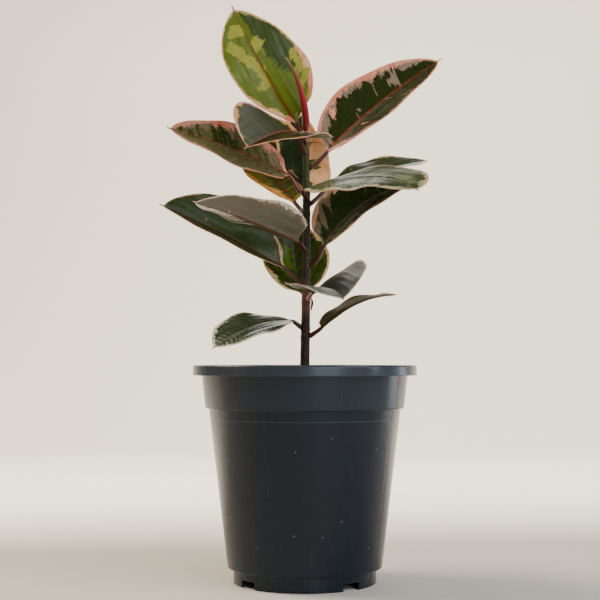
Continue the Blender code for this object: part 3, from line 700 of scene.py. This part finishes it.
def blade_rings(leaf, number):
    """Closed sections of the blade, with what the colours need to know at each point.

    "veins" holds how far along the lateral veins lie, and the distances from midrib and margin.
    "blade" holds the side (1 above, 0 beneath), the place along the blade and the pale margin's width.
    "patches" holds how strongly lighter, pale and margin colour are called for there.
    """
    length = (leaf.tip - leaf.base).length
    alongs = [0.5 - 0.5 * math.cos(math.pi * step / BLADE_RINGS) for step in range(BLADE_RINGS + 1)]
    rows = [blade_row(leaf, along) for along in alongs]
    rings, veins, blade, patches = [], [], [], []
    for row_number, (along, row) in enumerate(zip(alongs, rows)):
        before = rows[max(row_number - 1, 0)]
        after = rows[min(row_number + 1, BLADE_RINGS)]
        narrow = min(half_width(leaf, along, half) for half in (0, 1))
        rib = RIB_DEPTH * (1 - RIB_TAPER * along) * min(narrow / NARROW, 1.0)
        groove = GROOVE_DEPTH * min(narrow / NARROW, 1.0)
        upper, lower, place, state, wanted = [], [], [], [], []
        for column, (point, offset, edge) in enumerate(row):
            right = row[min(column + 1, len(row) - 1)][0] - row[max(column - 1, 0)][0]
            normal = right.cross(after[column][0] - before[column][0]).normalized()
            close = math.exp(-(offset / RIB_SPREAD) ** 2)
            thickness = MARGIN_THICKNESS
            thickness += (BLADE_THICKNESS - MARGIN_THICKNESS) * min(edge / MARGIN_REACH, 1.0)
            upper.append(point - normal * (groove * close))
            lower.append(point - normal * (thickness + rib * close))
            run = along * length - VEIN_SLANT * abs(offset) - VEIN_BEND * offset ** 2
            place.append((run + LEAF_SHIFT * number, offset, edge))
            state.append((along, between(leaf.right if offset > 0 else leaf.left, along)))
            wanted.append(patch_strengths(leaf, run / length, offset / (abs(offset) + edge)))
        section = upper + lower[::-1]
        if along < BLEND_END:
            _, right, up = midrib_frame(leaf, along)
            centre = midrib_point(leaf, along) - up * STALK_DROP
            round_section = stalk_ring(centre, right, up, STALK_RADIUS, len(section))
            share = (along / BLEND_END) ** BLEND_CURVE
            section = [start.lerp(end, share) for start, end in zip(round_section, section)]
        rings.append(section)
        veins += place + place[::-1]
        blade += [(1.0, *values) for values in state] + [(0.0, *values) for values in state[::-1]]
        patches += wanted + wanted[::-1]
    return rings, veins, blade, patches


def make_leaf(leaf, number):
    """One leaf as a single body: stalk, midrib and blade."""
    rings, veins, blade, patches = blade_rings(leaf, number)
    count = len(rings[0])
    stalk = stalk_rings(leaf, count)
    places = len(stalk) * count
    veins = [(LEAF_SHIFT * number, 0.0, 0.0)] * places + veins
    blade = [(1.0, step // count / len(stalk) - 1.0, 0.0) for step in range(places)] + blade
    patches = [(0.0, 0.0, 0.0)] * places + patches
    add_rod(leaf.name + "_blade", stalk + rings, leaf_skin(leaf), leaf.name,
            {"veins": veins, "blade": blade, "patches": patches})


def leaf_skin(leaf):
    """The waxy skin of one rubber plant leaf, grown from a variegated shoot.

    The dark core follows the midrib. It ends in teeth along the lateral veins, and the margin
    beyond has no green of its own, so it shows cream and pink.
    """
    made, tree = new_material("waxy_variegated_" + leaf.name, IOR=1.45, Specular_IOR_Level=0.42)
    run, offset, edge, vein_place = held(tree, "veins")
    side, along, band, _ = held(tree, "blade")
    wanted = held(tree, "patches")[:3]
    tone = {}
    for name, under, upper in zip(TONES, leaf.under.colours.split(), leaf.upper.colours.split()):
        tone[name] = mix(tree, side, under, upper)
    right = calc(tree, "GREATER_THAN", offset, 0.0)
    strip = calc(tree, "SNAP", run, FINE_STRIP)
    strip_place = add(tree, "CombineXYZ", {0: strip, 1: right})
    fringe = add(tree, "TexWhiteNoise", {"Vector": strip_place}, noise_dimensions="2D")
    apart = calc(tree, "MULTIPLY", right, LEAF_SHIFT / 2)

    # Where the dark core ends: a share of the margin's width that wanders along the blade and is
    # frayed from strip to strip. Between core and margin lies a pale zone that reaches further in.
    edge_place = add(tree, "CombineXYZ", {0: strip, 1: apart})
    wander = three(tree, grains(tree, edge_place, TOOTH_SIZE, detail=3.0, roughness=0.65))
    in_zone = []
    for value, most in zip(wander, ZONE_MOST):
        reach = remap(tree, value, TOOTH_SPAN, (ZONE_LEAST, most))
        reach = calc(tree, "MULTIPLY_ADD", fringe, ZONE_FRAY, reach)
        beyond = calc(tree, "SUBTRACT", calc(tree, "MULTIPLY", reach, band), edge)
        in_zone.append(remap(tree, beyond, SOFT_EDGE))

    # Patches run with the veins, so their pattern is stretched across the blade and frayed along it.
    across = calc(tree, "MULTIPLY", offset, PATCH_SIZE / PATCH_LENGTH)
    patch_place = add(tree, "CombineXYZ", {0: strip, 1: across, 2: apart})
    clouds = three(tree, grains(tree, patch_place, PATCH_SIZE, detail=3.0, roughness=0.6))
    fingers = three(tree, grains(tree, edge_place, FINGER_SIZE, detail=2.0, roughness=0.6))
    in_patch = []
    for cloud, finger, want, common in zip(clouds, fingers, wanted, (leaf.lighter, leaf.paler, 0.0)):
        level = calc(tree, "MULTIPLY_ADD", cloud, PATCH_CLOUD, want)
        level = calc(tree, "ADD", level, remap(tree, finger, FINGER_SPAN, (0.0, PATCH_FINGERS)))
        level = calc(tree, "MULTIPLY_ADD", fringe, PATCH_FRAY, level)
        limit = PATCH_LIMIT - PATCH_EASE * common
        in_patch.append(remap(tree, level, (limit, limit + PATCH_BLUR)))
    in_margin = calc(tree, "MAXIMUM", in_zone[0], in_patch[2])
    in_pale = calc(tree, "MAXIMUM", in_zone[1], in_patch[1])
    in_blush = calc(tree, "MAXIMUM", remap(tree, wander[2], BLUSH_SPAN), remap(tree, edge, *BLUSH_RIM))
    margin = mix(tree, in_blush, tone["margin"], tone["blush"])

    # Lateral veins: fine and a little paler than the blade; on leaves whose veins are clearer, the extra
    # paleness is painted highlight along their ridges. One more follows the margin.
    to_vein = calc(tree, "PINGPONG", run, VEIN_SPACING / 2)
    on_vein = remap(tree, to_vein, VEIN_WIDTHS, (0.0, VEIN_SHOW * leaf.clear))
    distance, half_wide, show = MARGIN_VEIN
    on_margin_vein = calc(tree, "MULTIPLY", calc(tree, "COMPARE", edge, distance, half_wide), show)
    in_vein = calc(tree, "MAXIMUM", on_vein, on_margin_vein)

    # Midrib and stalk.
    rib_width = remap(tree, along, to=RIB_WIDTHS)
    in_rib = calc(tree, "SUBTRACT", rib_width, calc(tree, "ABSOLUTE", offset))
    in_rib = remap(tree, in_rib, SOFT_EDGE)
    in_stalk = remap(tree, along, (STALK_COLOUR_END, 0.0))

    colour = mix(tree, in_patch[0], tone["dark"], tone["light"])
    for share, over in ((in_pale, tone["pale"]), (in_margin, margin), (in_vein, tone["pale"]),
                        (in_rib, tone["rib"]), (in_stalk, tone["stalk"])):
        colour = mix(tree, share, colour, over)

    # From place to place the colour varies by about a tenth, and the gloss with it.
    mottle = grains(tree, vein_place, MOTTLE_SIZE, detail=4.0)
    colour = shaded(tree, colour, mottle, MOTTLE_SHADES)
    rough = remap(tree, side, to=(leaf.under.roughness, leaf.upper.roughness))
    rough = calc(tree, "MULTIPLY_ADD", mottle, MOTTLE_GLOSS, rough)

    # The blade swells between the veins, and its wax has a fine leathery grain.
    swell = add(tree, "MapRange", {0: to_vein, 1: 0.0, 2: VEIN_SPACING / 2}, interpolation_type="SMOOTHSTEP")
    leather = grains(tree, vein_place, LEATHER_GRAIN, detail=2.0)
    height = calc(tree, "MULTIPLY_ADD", leather, LEATHER_SHARE, swell)
    bump = relief(tree, height, VEIN_RELIEF * leaf.clear, strength=0.6)

    # Long low folds along the blade break its gloss into streaks.
    fold_run = calc(tree, "MULTIPLY", run, FOLD_WIDTH / FOLD_LENGTH)
    fold_place = add(tree, "CombineXYZ", {0: fold_run, 1: offset, 2: apart})
    bump = relief(tree, grains(tree, fold_place, FOLD_WIDTH, detail=1.0), FOLD_DEPTH, Normal=bump)
    return dress(made, Base_Color=colour, Roughness=rough, Normal=bump)


def make_stem():
    """The woody stem with a ring and a scar under each leaf."""
    heights = [STEM_LOW, STEM_LOW + STEM_RING_STEP]
    while heights[-1] + STEM_RING_STEP < STEM_TOP:
        heights.append(heights[-1] + (STEM_RING_STEP if heights[-1] > SOIL_TOP else BURIED_RING_STEP))
    heights.append(STEM_TOP)
    rings = []
    for height in heights:
        nearest = min(abs(height - leaf.foot + 2 * NODE_UNDER) for leaf in LEAVES)
        radius = stem_radius(height) - SCAR_DEPTH * math.exp(-(nearest / NODE_UNDER * 2) ** 2)
        rings.append(circle(stem_centre(height), radius, STEM_SIDES))
    add_rod("stem_bark", rings, stem_skin(), "stem")


def make_scale():
    """The dry pointed scale that lies along the stem's right side."""
    rings = []
    for step in range(SCALE_STEPS + 1):
        share = step / SCALE_STEPS
        centre = stem_centre(SCALE_LOW + (SCALE_HIGH - SCALE_LOW) * share)
        radius = SCALE_TIP_RADIUS + (SCALE_RADIUS - SCALE_TIP_RADIUS) * math.sin(math.pi * share)
        centre.x += stem_radius(centre.z) + GAP + radius
        rings.append(circle(centre, radius, STEM_SIDES))
    add_rod("dry_scale", rings, scale_skin(), "stem_scale")


def make_sheath():
    """The pointed red sheath that wraps the next leaf, from its base to its tip."""
    rings, places = [], []
    across = RIGHTWARDS
    for step in range(SHEATH_STEPS + 1):
        share = step / SHEATH_STEPS
        ahead = bezier_heading(SHEATH_ROUTE, share)
        across = (across - ahead * across.dot(ahead)).normalized()
        radius = SHEATH_TIP_RADIUS + (SHEATH_RADIUS - SHEATH_TIP_RADIUS) * (1 - share ** SHEATH_TAPER)
        rings.append(circle(bezier(SHEATH_ROUTE, share), radius, STEM_SIDES, across, ahead.cross(across)))
        places += [(share, 0.0, 0.0)] * STEM_SIDES
    add_rod("red_sheath", rings, sheath_skin(), "bud_sheath", {"veins": places})


def stem_skin():
    """Young ficus bark: green at the top, brown and corky lower down, with small pale pores."""
    made, tree = new_material("young_ficus_bark", IOR=1.45, Specular_IOR_Level=0.3)
    place = on_piece(tree)
    height = add(tree, "SeparateXYZ", {0: place}).outputs[2]
    colour = ramp(tree, remap(tree, height, (SOIL_TOP * MM, STEM_TOP * MM)),
                  (0.0, "#2A1C12"), (0.24, "#2E2016"), (0.3, "#6A463C"), (0.34, "#5A3E34"),
                  (0.42, "#30281A"), (0.7, "#262410"), (0.78, "#333A1E"), (0.86, "#34401E"),
                  (1.0, "#5A4028"))
    streaks = grains(tree, on_piece(tree, upward=0.3), BARK_GRAIN * MM, detail=5.0)
    colour = shaded(tree, colour, streaks, to=(0.6, 1.35))
    pores = add(tree, "TexVoronoi", {"Vector": place, "Scale": 1 / (PORE_SPACING * MM)})
    colour = mix(tree, remap(tree, pores, *PORE_EDGE), colour, "#8A7458")
    rough = remap(tree, streaks, to=(0.42, 0.72))
    bump = relief(tree, streaks, depth=0.25, strength=0.7)
    return dress(made, Base_Color=colour, Roughness=rough, Normal=bump)


def scale_skin():
    """Dry brown scale, thin and papery, so it is matt and streaked along its length."""
    made, tree = new_material("dry_papery_scale", IOR=1.45, Roughness=0.75)
    fibres = grains(tree, on_piece(tree, upward=0.2), SCALE_FIBRE * MM, detail=3.0)
    colour = mix(tree, fibres, "#1E130C", "#4A3020")
    return dress(made, Base_Color=colour, Normal=relief(tree, fibres, depth=0.1, strength=0.6))


def sheath_skin():
    """Living leaf sheath: smooth, a little waxy, crimson with a browner end and a green-yellow tip."""
    made, tree = new_material("waxy_crimson_sheath", IOR=1.45, Coat_Weight=0.1, Coat_Roughness=0.25)
    colour = ramp(tree, held(tree, "veins")[0],
                  (0.0, "#7A2A28"), (0.12, "#9A2234"), (0.5, "#B02C40"), (0.72, "#8A3A30"),
                  (0.9, "#7A5A34"), (1.0, "#9A9048"))
    ribs = grains(tree, on_piece(tree), SHEATH_GRAIN * MM, detail=4.0)
    colour = shaded(tree, colour, ribs, to=(0.8, 1.2))
    rough = remap(tree, ribs, to=(0.3, 0.45))
    bump = relief(tree, ribs, depth=0.1, strength=0.5)
    return dress(made, Base_Color=colour, Roughness=rough, Normal=bump)


def body_radius(height, inset=0.0):
    """Outer radius of the pot's tapered body at a height, less an inset."""
    top_radius = COLLAR_LOW_RADIUS - STEP_DEPTH
    share = (height - FOOT_HEIGHT) / (COLLAR_LOW - FOOT_HEIGHT)
    return BODY_LOW_RADIUS + (top_radius - BODY_LOW_RADIUS) * share - inset


def round_corners(corners):
    """Points of a closed profile of (radius, height, rounding), each corner drawn as a short arc."""
    points = []
    for number, (radius, height, rounding) in enumerate(corners):
        corner = Vector((radius, height))
        before = Vector(corners[number - 1][:2]) - corner
        after = Vector(corners[(number + 1) % len(corners)][:2]) - corner
        reach = min(rounding, min(before.length, after.length) / (CORNER_ROOM * CORNER_SUPPORT))
        start = corner + before.normalized() * reach
        end = corner + after.normalized() * reach
        points.append(corner.lerp(start, CORNER_SUPPORT))
        for step in range(CORNER_STEPS + 1):
            share = step / CORNER_STEPS
            points.append(start.lerp(corner, share).lerp(corner.lerp(end, share), share))
        points.append(corner.lerp(end, CORNER_SUPPORT))
    return points


def turned(profile, sides):
    """Points and quads of a closed profile turned about the Z axis, its solid on the profile's left."""
    points = []
    for side in range(sides):
        angle = 2 * math.pi * side / sides
        points += [(point.x * math.cos(angle), point.x * math.sin(angle), point.y) for point in profile]
    count = len(profile)
    faces = []
    for side in range(sides):
        here = side * count
        there = (side + 1) % sides * count
        for step in range(count):
            after = (step + 1) % count
            faces.append((here + step, there + step, there + after, here + after))
    return points, faces


BOX_FACES = ((0, 1, 3, 2), (4, 6, 7, 5), (0, 4, 5, 1), (2, 3, 7, 6), (0, 2, 6, 4), (1, 5, 7, 3))


def cut_box(target, centre, size, degrees):
    """Takes a box, turned about the Z axis, out of a mesh."""
    turn = math.radians(degrees)
    corners = []
    for sides in product((-0.5, 0.5), repeat=3):
        x, y, z = [middle + side * length for middle, side, length in zip(centre, sides, size)]
        corners.append((x * math.cos(turn) - y * math.sin(turn), x * math.sin(turn) + y * math.cos(turn), z))
    cutter = add_mesh("cutter", corners, BOX_FACES, [])
    cut = target.modifiers.new("cut", "BOOLEAN")
    cut.operation = "DIFFERENCE"
    cut.solver = "EXACT"
    cut.object = cutter
    bpy.context.view_layer.update()
    whole = target.evaluated_get(bpy.context.evaluated_depsgraph_get())
    target.data = bpy.data.meshes.new_from_object(whole)
    target.modifiers.clear()
    bpy.data.objects.remove(cutter)


def make_pot():
    """The moulded pot: one wall with a rolled rim, a collar, a tapered body and a notched foot."""
    rim_low = POT_HEIGHT - RIM_DEPTH
    floor_top = FLOOR_UNDER + POT_WALL
    corners = (
        (CENTRE_DRAIN_RADIUS, FLOOR_UNDER, 0.3),
        (FOOT_RADIUS - FOOT_WALL, FLOOR_UNDER, 0.5),
        (FOOT_RADIUS - FOOT_WALL, 0.0, 0.4),
        (FOOT_RADIUS, 0.0, 0.7),
        (FOOT_RADIUS, FOOT_HEIGHT, 0.7),
        (BODY_LOW_RADIUS, FOOT_HEIGHT, 2.4),
        (body_radius(COLLAR_LOW), COLLAR_LOW, 0.7),
        (COLLAR_LOW_RADIUS, COLLAR_LOW, 1.7),
        (COLLAR_TOP_RADIUS, rim_low, 0.3),
        (COLLAR_TOP_RADIUS, POT_HEIGHT - RIM_WALL, 0.6),
        (RIM_RADIUS - RIM_WALL, POT_HEIGHT - RIM_WALL, 0.6),
        (RIM_RADIUS - RIM_WALL, rim_low, 0.3),
        (RIM_RADIUS, rim_low, 0.5),
        (RIM_RADIUS, POT_HEIGHT, 1.7),
        (COLLAR_TOP_RADIUS - POT_WALL, POT_HEIGHT, 0.9),
        (COLLAR_LOW_RADIUS - POT_WALL, COLLAR_LOW + POT_WALL, 0.9),
        (body_radius(COLLAR_LOW, POT_WALL), COLLAR_LOW - POT_WALL, 0.9),
        (body_radius(floor_top + FLOOR_SLOPE, POT_WALL), floor_top + FLOOR_SLOPE, 0.9),
        (FOOT_RADIUS - FOOT_WALL, floor_top, 0.9),
        (CENTRE_DRAIN_RADIUS, floor_top, 0.3),
    )
    pot = add_mesh("nursery_pot", *turned(round_corners(corners), POT_SIDES), [pot_plastic()])
    for degrees in NOTCH_ANGLES:
        cut_box(pot, (0, -FOOT_RADIUS, 0), NOTCH_SIZE, degrees)
        cut_box(pot, (0, -DRAIN_CIRCLE, FLOOR_UNDER), DRAIN_SIZE, degrees + DRAIN_TURN)
    pot.data.set_sharp_from_angle(angle=math.radians(POT_SHARP_ANGLE))
    settle(pot, "pot")


def pot_plastic():
    """Injection-moulded charcoal polypropylene: a smooth satin gloss, faint upright streaks of colour and
    gloss, and dust.
    """
    made, tree = new_material("moulded_charcoal_polypropylene", IOR=1.49, Specular_IOR_Level=0.42,
                              Specular_Tint=linear("#D6E2F2"))
    place = on_piece(tree)
    streaks = grains(tree, on_piece(tree, upward=0.08), STREAK_WIDTH * MM, detail=1.0)
    colour = mix(tree, streaks, "#0C1218", "#141C26")
    cells = add(tree, "TexVoronoi", {"Vector": place, "Scale": 1 / (DUST_SPACING * MM)})
    some = calc(tree, "GREATER_THAN", three(tree, cells)[0], DUST_FREE)
    speck = calc(tree, "LESS_THAN", cells, DUST_SIZE / DUST_SPACING)
    colour = mix(tree, calc(tree, "MULTIPLY", some, speck), colour, "#A8A8A4")

    # Collar and rim are painted lighter than the body: painted sheen where they catch more light.
    height = add(tree, "SeparateXYZ", {0: place}).outputs[2]
    for low, tone in ((COLLAR_LOW, "#1E262E"), (POT_HEIGHT - RIM_DEPTH, "#363D44")):
        colour = mix(tree, remap(tree, height, ((low - GAP) * MM, low * MM)), colour, tone)

    # The mould's halves left a fine parting line. Its neck ring under the collar is a painted highlight: a
    # faint pale line, without relief.
    ring_highlight = calc(tree, "COMPARE", height, RING_HEIGHT * MM, RING_WIDTH / 2 * MM)
    colour = mix(tree, calc(tree, "MULTIPLY", ring_highlight, RING_HIGHLIGHT), colour, "#58646C")
    turn = math.radians(SEAM_ANGLE)
    heading = (math.cos(turn), math.sin(turn), 0.0)
    from_seam = add(tree, "VectorMath", {0: place, 1: heading}, operation="DOT_PRODUCT").outputs["Value"]
    seam = remap(tree, calc(tree, "ABSOLUTE", from_seam), (0.0, SEAM_WIDTH / 2 * MM))
    grain = grains(tree, place, MOULD_GRAIN * MM, detail=2.0)
    bump = relief(tree, grain, depth=0.05, strength=0.15)
    bump = relief(tree, seam, SEAM_DEPTH, Normal=bump)
    rough = remap(tree, streaks, NOISE_SPAN, to=(0.2, 0.3))
    return dress(made, Base_Color=colour, Roughness=rough, Normal=bump)


def soil_height(x, y):
    """Height of the mix at a place: low clods with crumbs on them."""
    place = Vector((x, y, SOIL_TOP))
    clods = SOIL_RELIEF * noise.noise(place * SOIL_GRAIN)
    return SOIL_TOP + clods + CRUMB_RELIEF * noise.fractal(place * CRUMB_GRAIN, *CRUMB_FRACTAL)


def lumps(kind, bed_edge):
    """Points and faces of small seeded lumps half sunk in the mix."""
    ball = bmesh.new()
    bmesh.ops.create_icosphere(ball, subdivisions=2, radius=1.0)
    ball_points = [vertex.co.copy() for vertex in ball.verts]
    ball_faces = [tuple(vertex.index for vertex in face.verts) for face in ball.faces]
    ball.free()
    points, faces = [], []
    for number in range(kind.count):
        distance = (bed_edge - kind.margin) * math.sqrt(random.uniform(LUMP_NEAREST, 1.0))
        angle = random.uniform(0, 2 * math.pi)
        x, y = distance * math.cos(angle), distance * math.sin(angle)
        size = Vector([random.uniform(low, high) for low, high in zip(kind.least, kind.greatest)])
        turn = Euler([random.uniform(low, high) for low, high in LUMP_TURNS])
        centre = Vector((x, y, soil_height(x, y) + size.z * LUMP_RISE))
        first = len(points)
        for point in ball_points:
            dent = 1 + kind.dents * noise.noise(point * DENT_SCALE + Vector((number, 0, 0)))
            corner = Vector([axis * length for axis, length in zip(point * dent, size)])
            corner.rotate(turn)
            points.append(centre + corner)
        faces += [tuple(first + index for index in face) for face in ball_faces]
    return points, faces


def make_soil():
    """The potting mix: a crumbly bed with bark chips and white perlite on it."""
    low = FLOOR_UNDER + POT_WALL + GAP
    edge = COLLAR_LOW_RADIUS - POT_WALL - SOIL_CLEARANCE
    hole = STEM_LOW_RADIUS + NODE_SWELL + 2 * GAP
    top_edge = edge + (COLLAR_TOP_RADIUS - COLLAR_LOW_RADIUS) / 2
    profile = [
        (FOOT_RADIUS - FOOT_WALL - SOIL_CLEARANCE, low),
        (body_radius(low + FLOOR_SLOPE, POT_WALL) - SOIL_CLEARANCE, low + FLOOR_SLOPE),
        (body_radius(COLLAR_LOW - 2 * POT_WALL, POT_WALL) - SOIL_CLEARANCE, COLLAR_LOW - 2 * POT_WALL),
        (edge, COLLAR_LOW + 2 * POT_WALL),
    ]
    for step in range(SOIL_RINGS + 1):
        profile.append((top_edge + (hole - top_edge) * step / SOIL_RINGS, SOIL_TOP))
    profile.append((hole, STEM_LOW - GAP))
    points = []
    for radius, height in profile:
        ring = circle(Vector((0, 0, height)), radius, SOIL_SIDES)
        if height == SOIL_TOP:
            ring = [Vector((point.x, point.y, soil_height(point.x, point.y))) for point in ring]
        points += ring
    faces = loft_faces(len(profile), SOIL_SIDES)
    numbers = [0] * len(faces)
    random.seed(SOIL_SEED)
    for number, kind in enumerate((BARK_CHIPS, PERLITE_GRAINS), start=1):
        lump_points, lump_faces = lumps(kind, top_edge)
        first = len(points)
        points += lump_points
        faces += [tuple(first + index for index in face) for face in lump_faces]
        numbers += [number] * len(lump_faces)
    surfaces = [crumb_skin(), chip_skin(), perlite_skin()]
    piece = add_mesh("potting_mix", points, faces, surfaces, None, SOIL_SHARP_ANGLE, numbers)
    settle(piece, "soil")


def crumb_skin():
    """Damp peat: dark, crumbly and matt."""
    made, tree = new_material("damp_peat", IOR=1.4, Roughness=0.92)
    crumbs = grains(tree, on_piece(tree), PEAT_CRUMB * MM, detail=6.0)
    colour = mix(tree, remap(tree, crumbs, (0.35, 0.68)), "#1A120C", "#46321F")
    return dress(made, Base_Color=colour, Normal=relief(tree, crumbs, depth=0.8))


def chip_skin():
    """Composted bark chips: fibrous along their length, matt, from red-brown to grey-brown."""
    made, tree = new_material("composted_bark_chips", IOR=1.4, Roughness=0.85)
    place = on_piece(tree)
    share = remap(tree, grains(tree, place, CHIP_PATCH * MM, detail=1.0), (0.4, 0.6))
    fibres = grains(tree, place, CHIP_FIBRE * MM, detail=5.0)
    colour = shaded(tree, mix(tree, share, "#3E2415", "#5E4630"), fibres, to=(0.6, 1.3))
    return dress(made, Base_Color=colour, Normal=relief(tree, fibres, depth=0.4, strength=0.9))


def perlite_skin():
    """Expanded perlite: off-white, pitted and matt."""
    made, tree = new_material("expanded_perlite", IOR=1.5, Roughness=0.8)
    pits = grains(tree, on_piece(tree), PERLITE_PIT * MM, detail=3.0)
    colour = mix(tree, pits, "#B8B2A4", "#E8E4D8")
    return dress(made, Base_Color=colour, Normal=relief(tree, pits, depth=0.2, strength=0.8))


def add_light(name, place, target, size, power, colour):
    """A soft rectangular light, in metres and watts, that looks at a target."""
    lamp = bpy.data.lights.new(name, "AREA")
    lamp.shape = "RECTANGLE"
    lamp.size, lamp.size_y = size
    lamp.energy = power
    lamp.color = linear(colour)[:3]
    holder = bpy.data.objects.new(name, lamp)
    holder.location = place
    holder.rotation_euler = (Vector(target) - Vector(place)).to_track_quat("-Z", "Y").to_euler()
    bpy.context.scene.collection.objects.link(holder)


def make_stage():
    """A plain pale floor that curves up into a backdrop behind the plant."""
    paper, _ = new_material("pale_studio_paper", Roughness=0.9, Base_Color=linear("#E4DED2"))
    stops = [(PAPER_FRONT, 0.0), (CURVE_START, 0.0)]
    for step in range(1, CURVE_STEPS + 1):
        angle = math.pi / 2 * step / CURVE_STEPS
        stops.append((CURVE_START + CURVE_RADIUS * math.sin(angle), CURVE_RADIUS * (1 - math.cos(angle))))
    stops.append((CURVE_START + CURVE_RADIUS, PAPER_TOP))
    points = [(x, y, z) for y, z in stops for x in (-PAPER_SIDE, PAPER_SIDE)]
    faces = [(first, first + 1, first + 3, first + 2) for first in range(0, 2 * len(stops) - 2, 2)]
    add_mesh("studio_paper", points, faces, [paper])


def make_lights():
    """Soft daylight from the upper left and the right, a fill in front, and light on the backdrop.

    Smaller lights beside and behind the plant give its leaves and the pot their sheen at grazing angles.
    """
    world = bpy.data.worlds.new("pale_room_light")
    world.use_nodes = True
    background = world.node_tree.nodes["Background"]
    background.inputs["Color"].default_value = linear(ROOM_COLOUR)
    background.inputs["Strength"].default_value = ROOM_STRENGTH
    bpy.context.scene.world = world
    for light in LIGHTS:
        add_light(*light)


def make_camera():
    """The photo's view: level with the pot's rim, a little over the ground, tilted up slightly."""
    camera = bpy.data.cameras.new("camera")
    camera.sensor_width = SENSOR_WIDTH
    camera.lens = LENS
    holder = bpy.data.objects.new("camera", camera)
    holder.location = CAMERA_PLACE
    holder.rotation_euler = (math.radians(CAMERA_TILT), 0.0, 0.0)
    bpy.context.scene.collection.objects.link(holder)
    bpy.context.scene.camera = holder


make_pot()
make_soil()
make_stem()
make_scale()
make_sheath()
for number, leaf in enumerate(LEAVES, start=1):
    make_leaf(leaf, number)
make_stage()
make_lights()
make_camera()
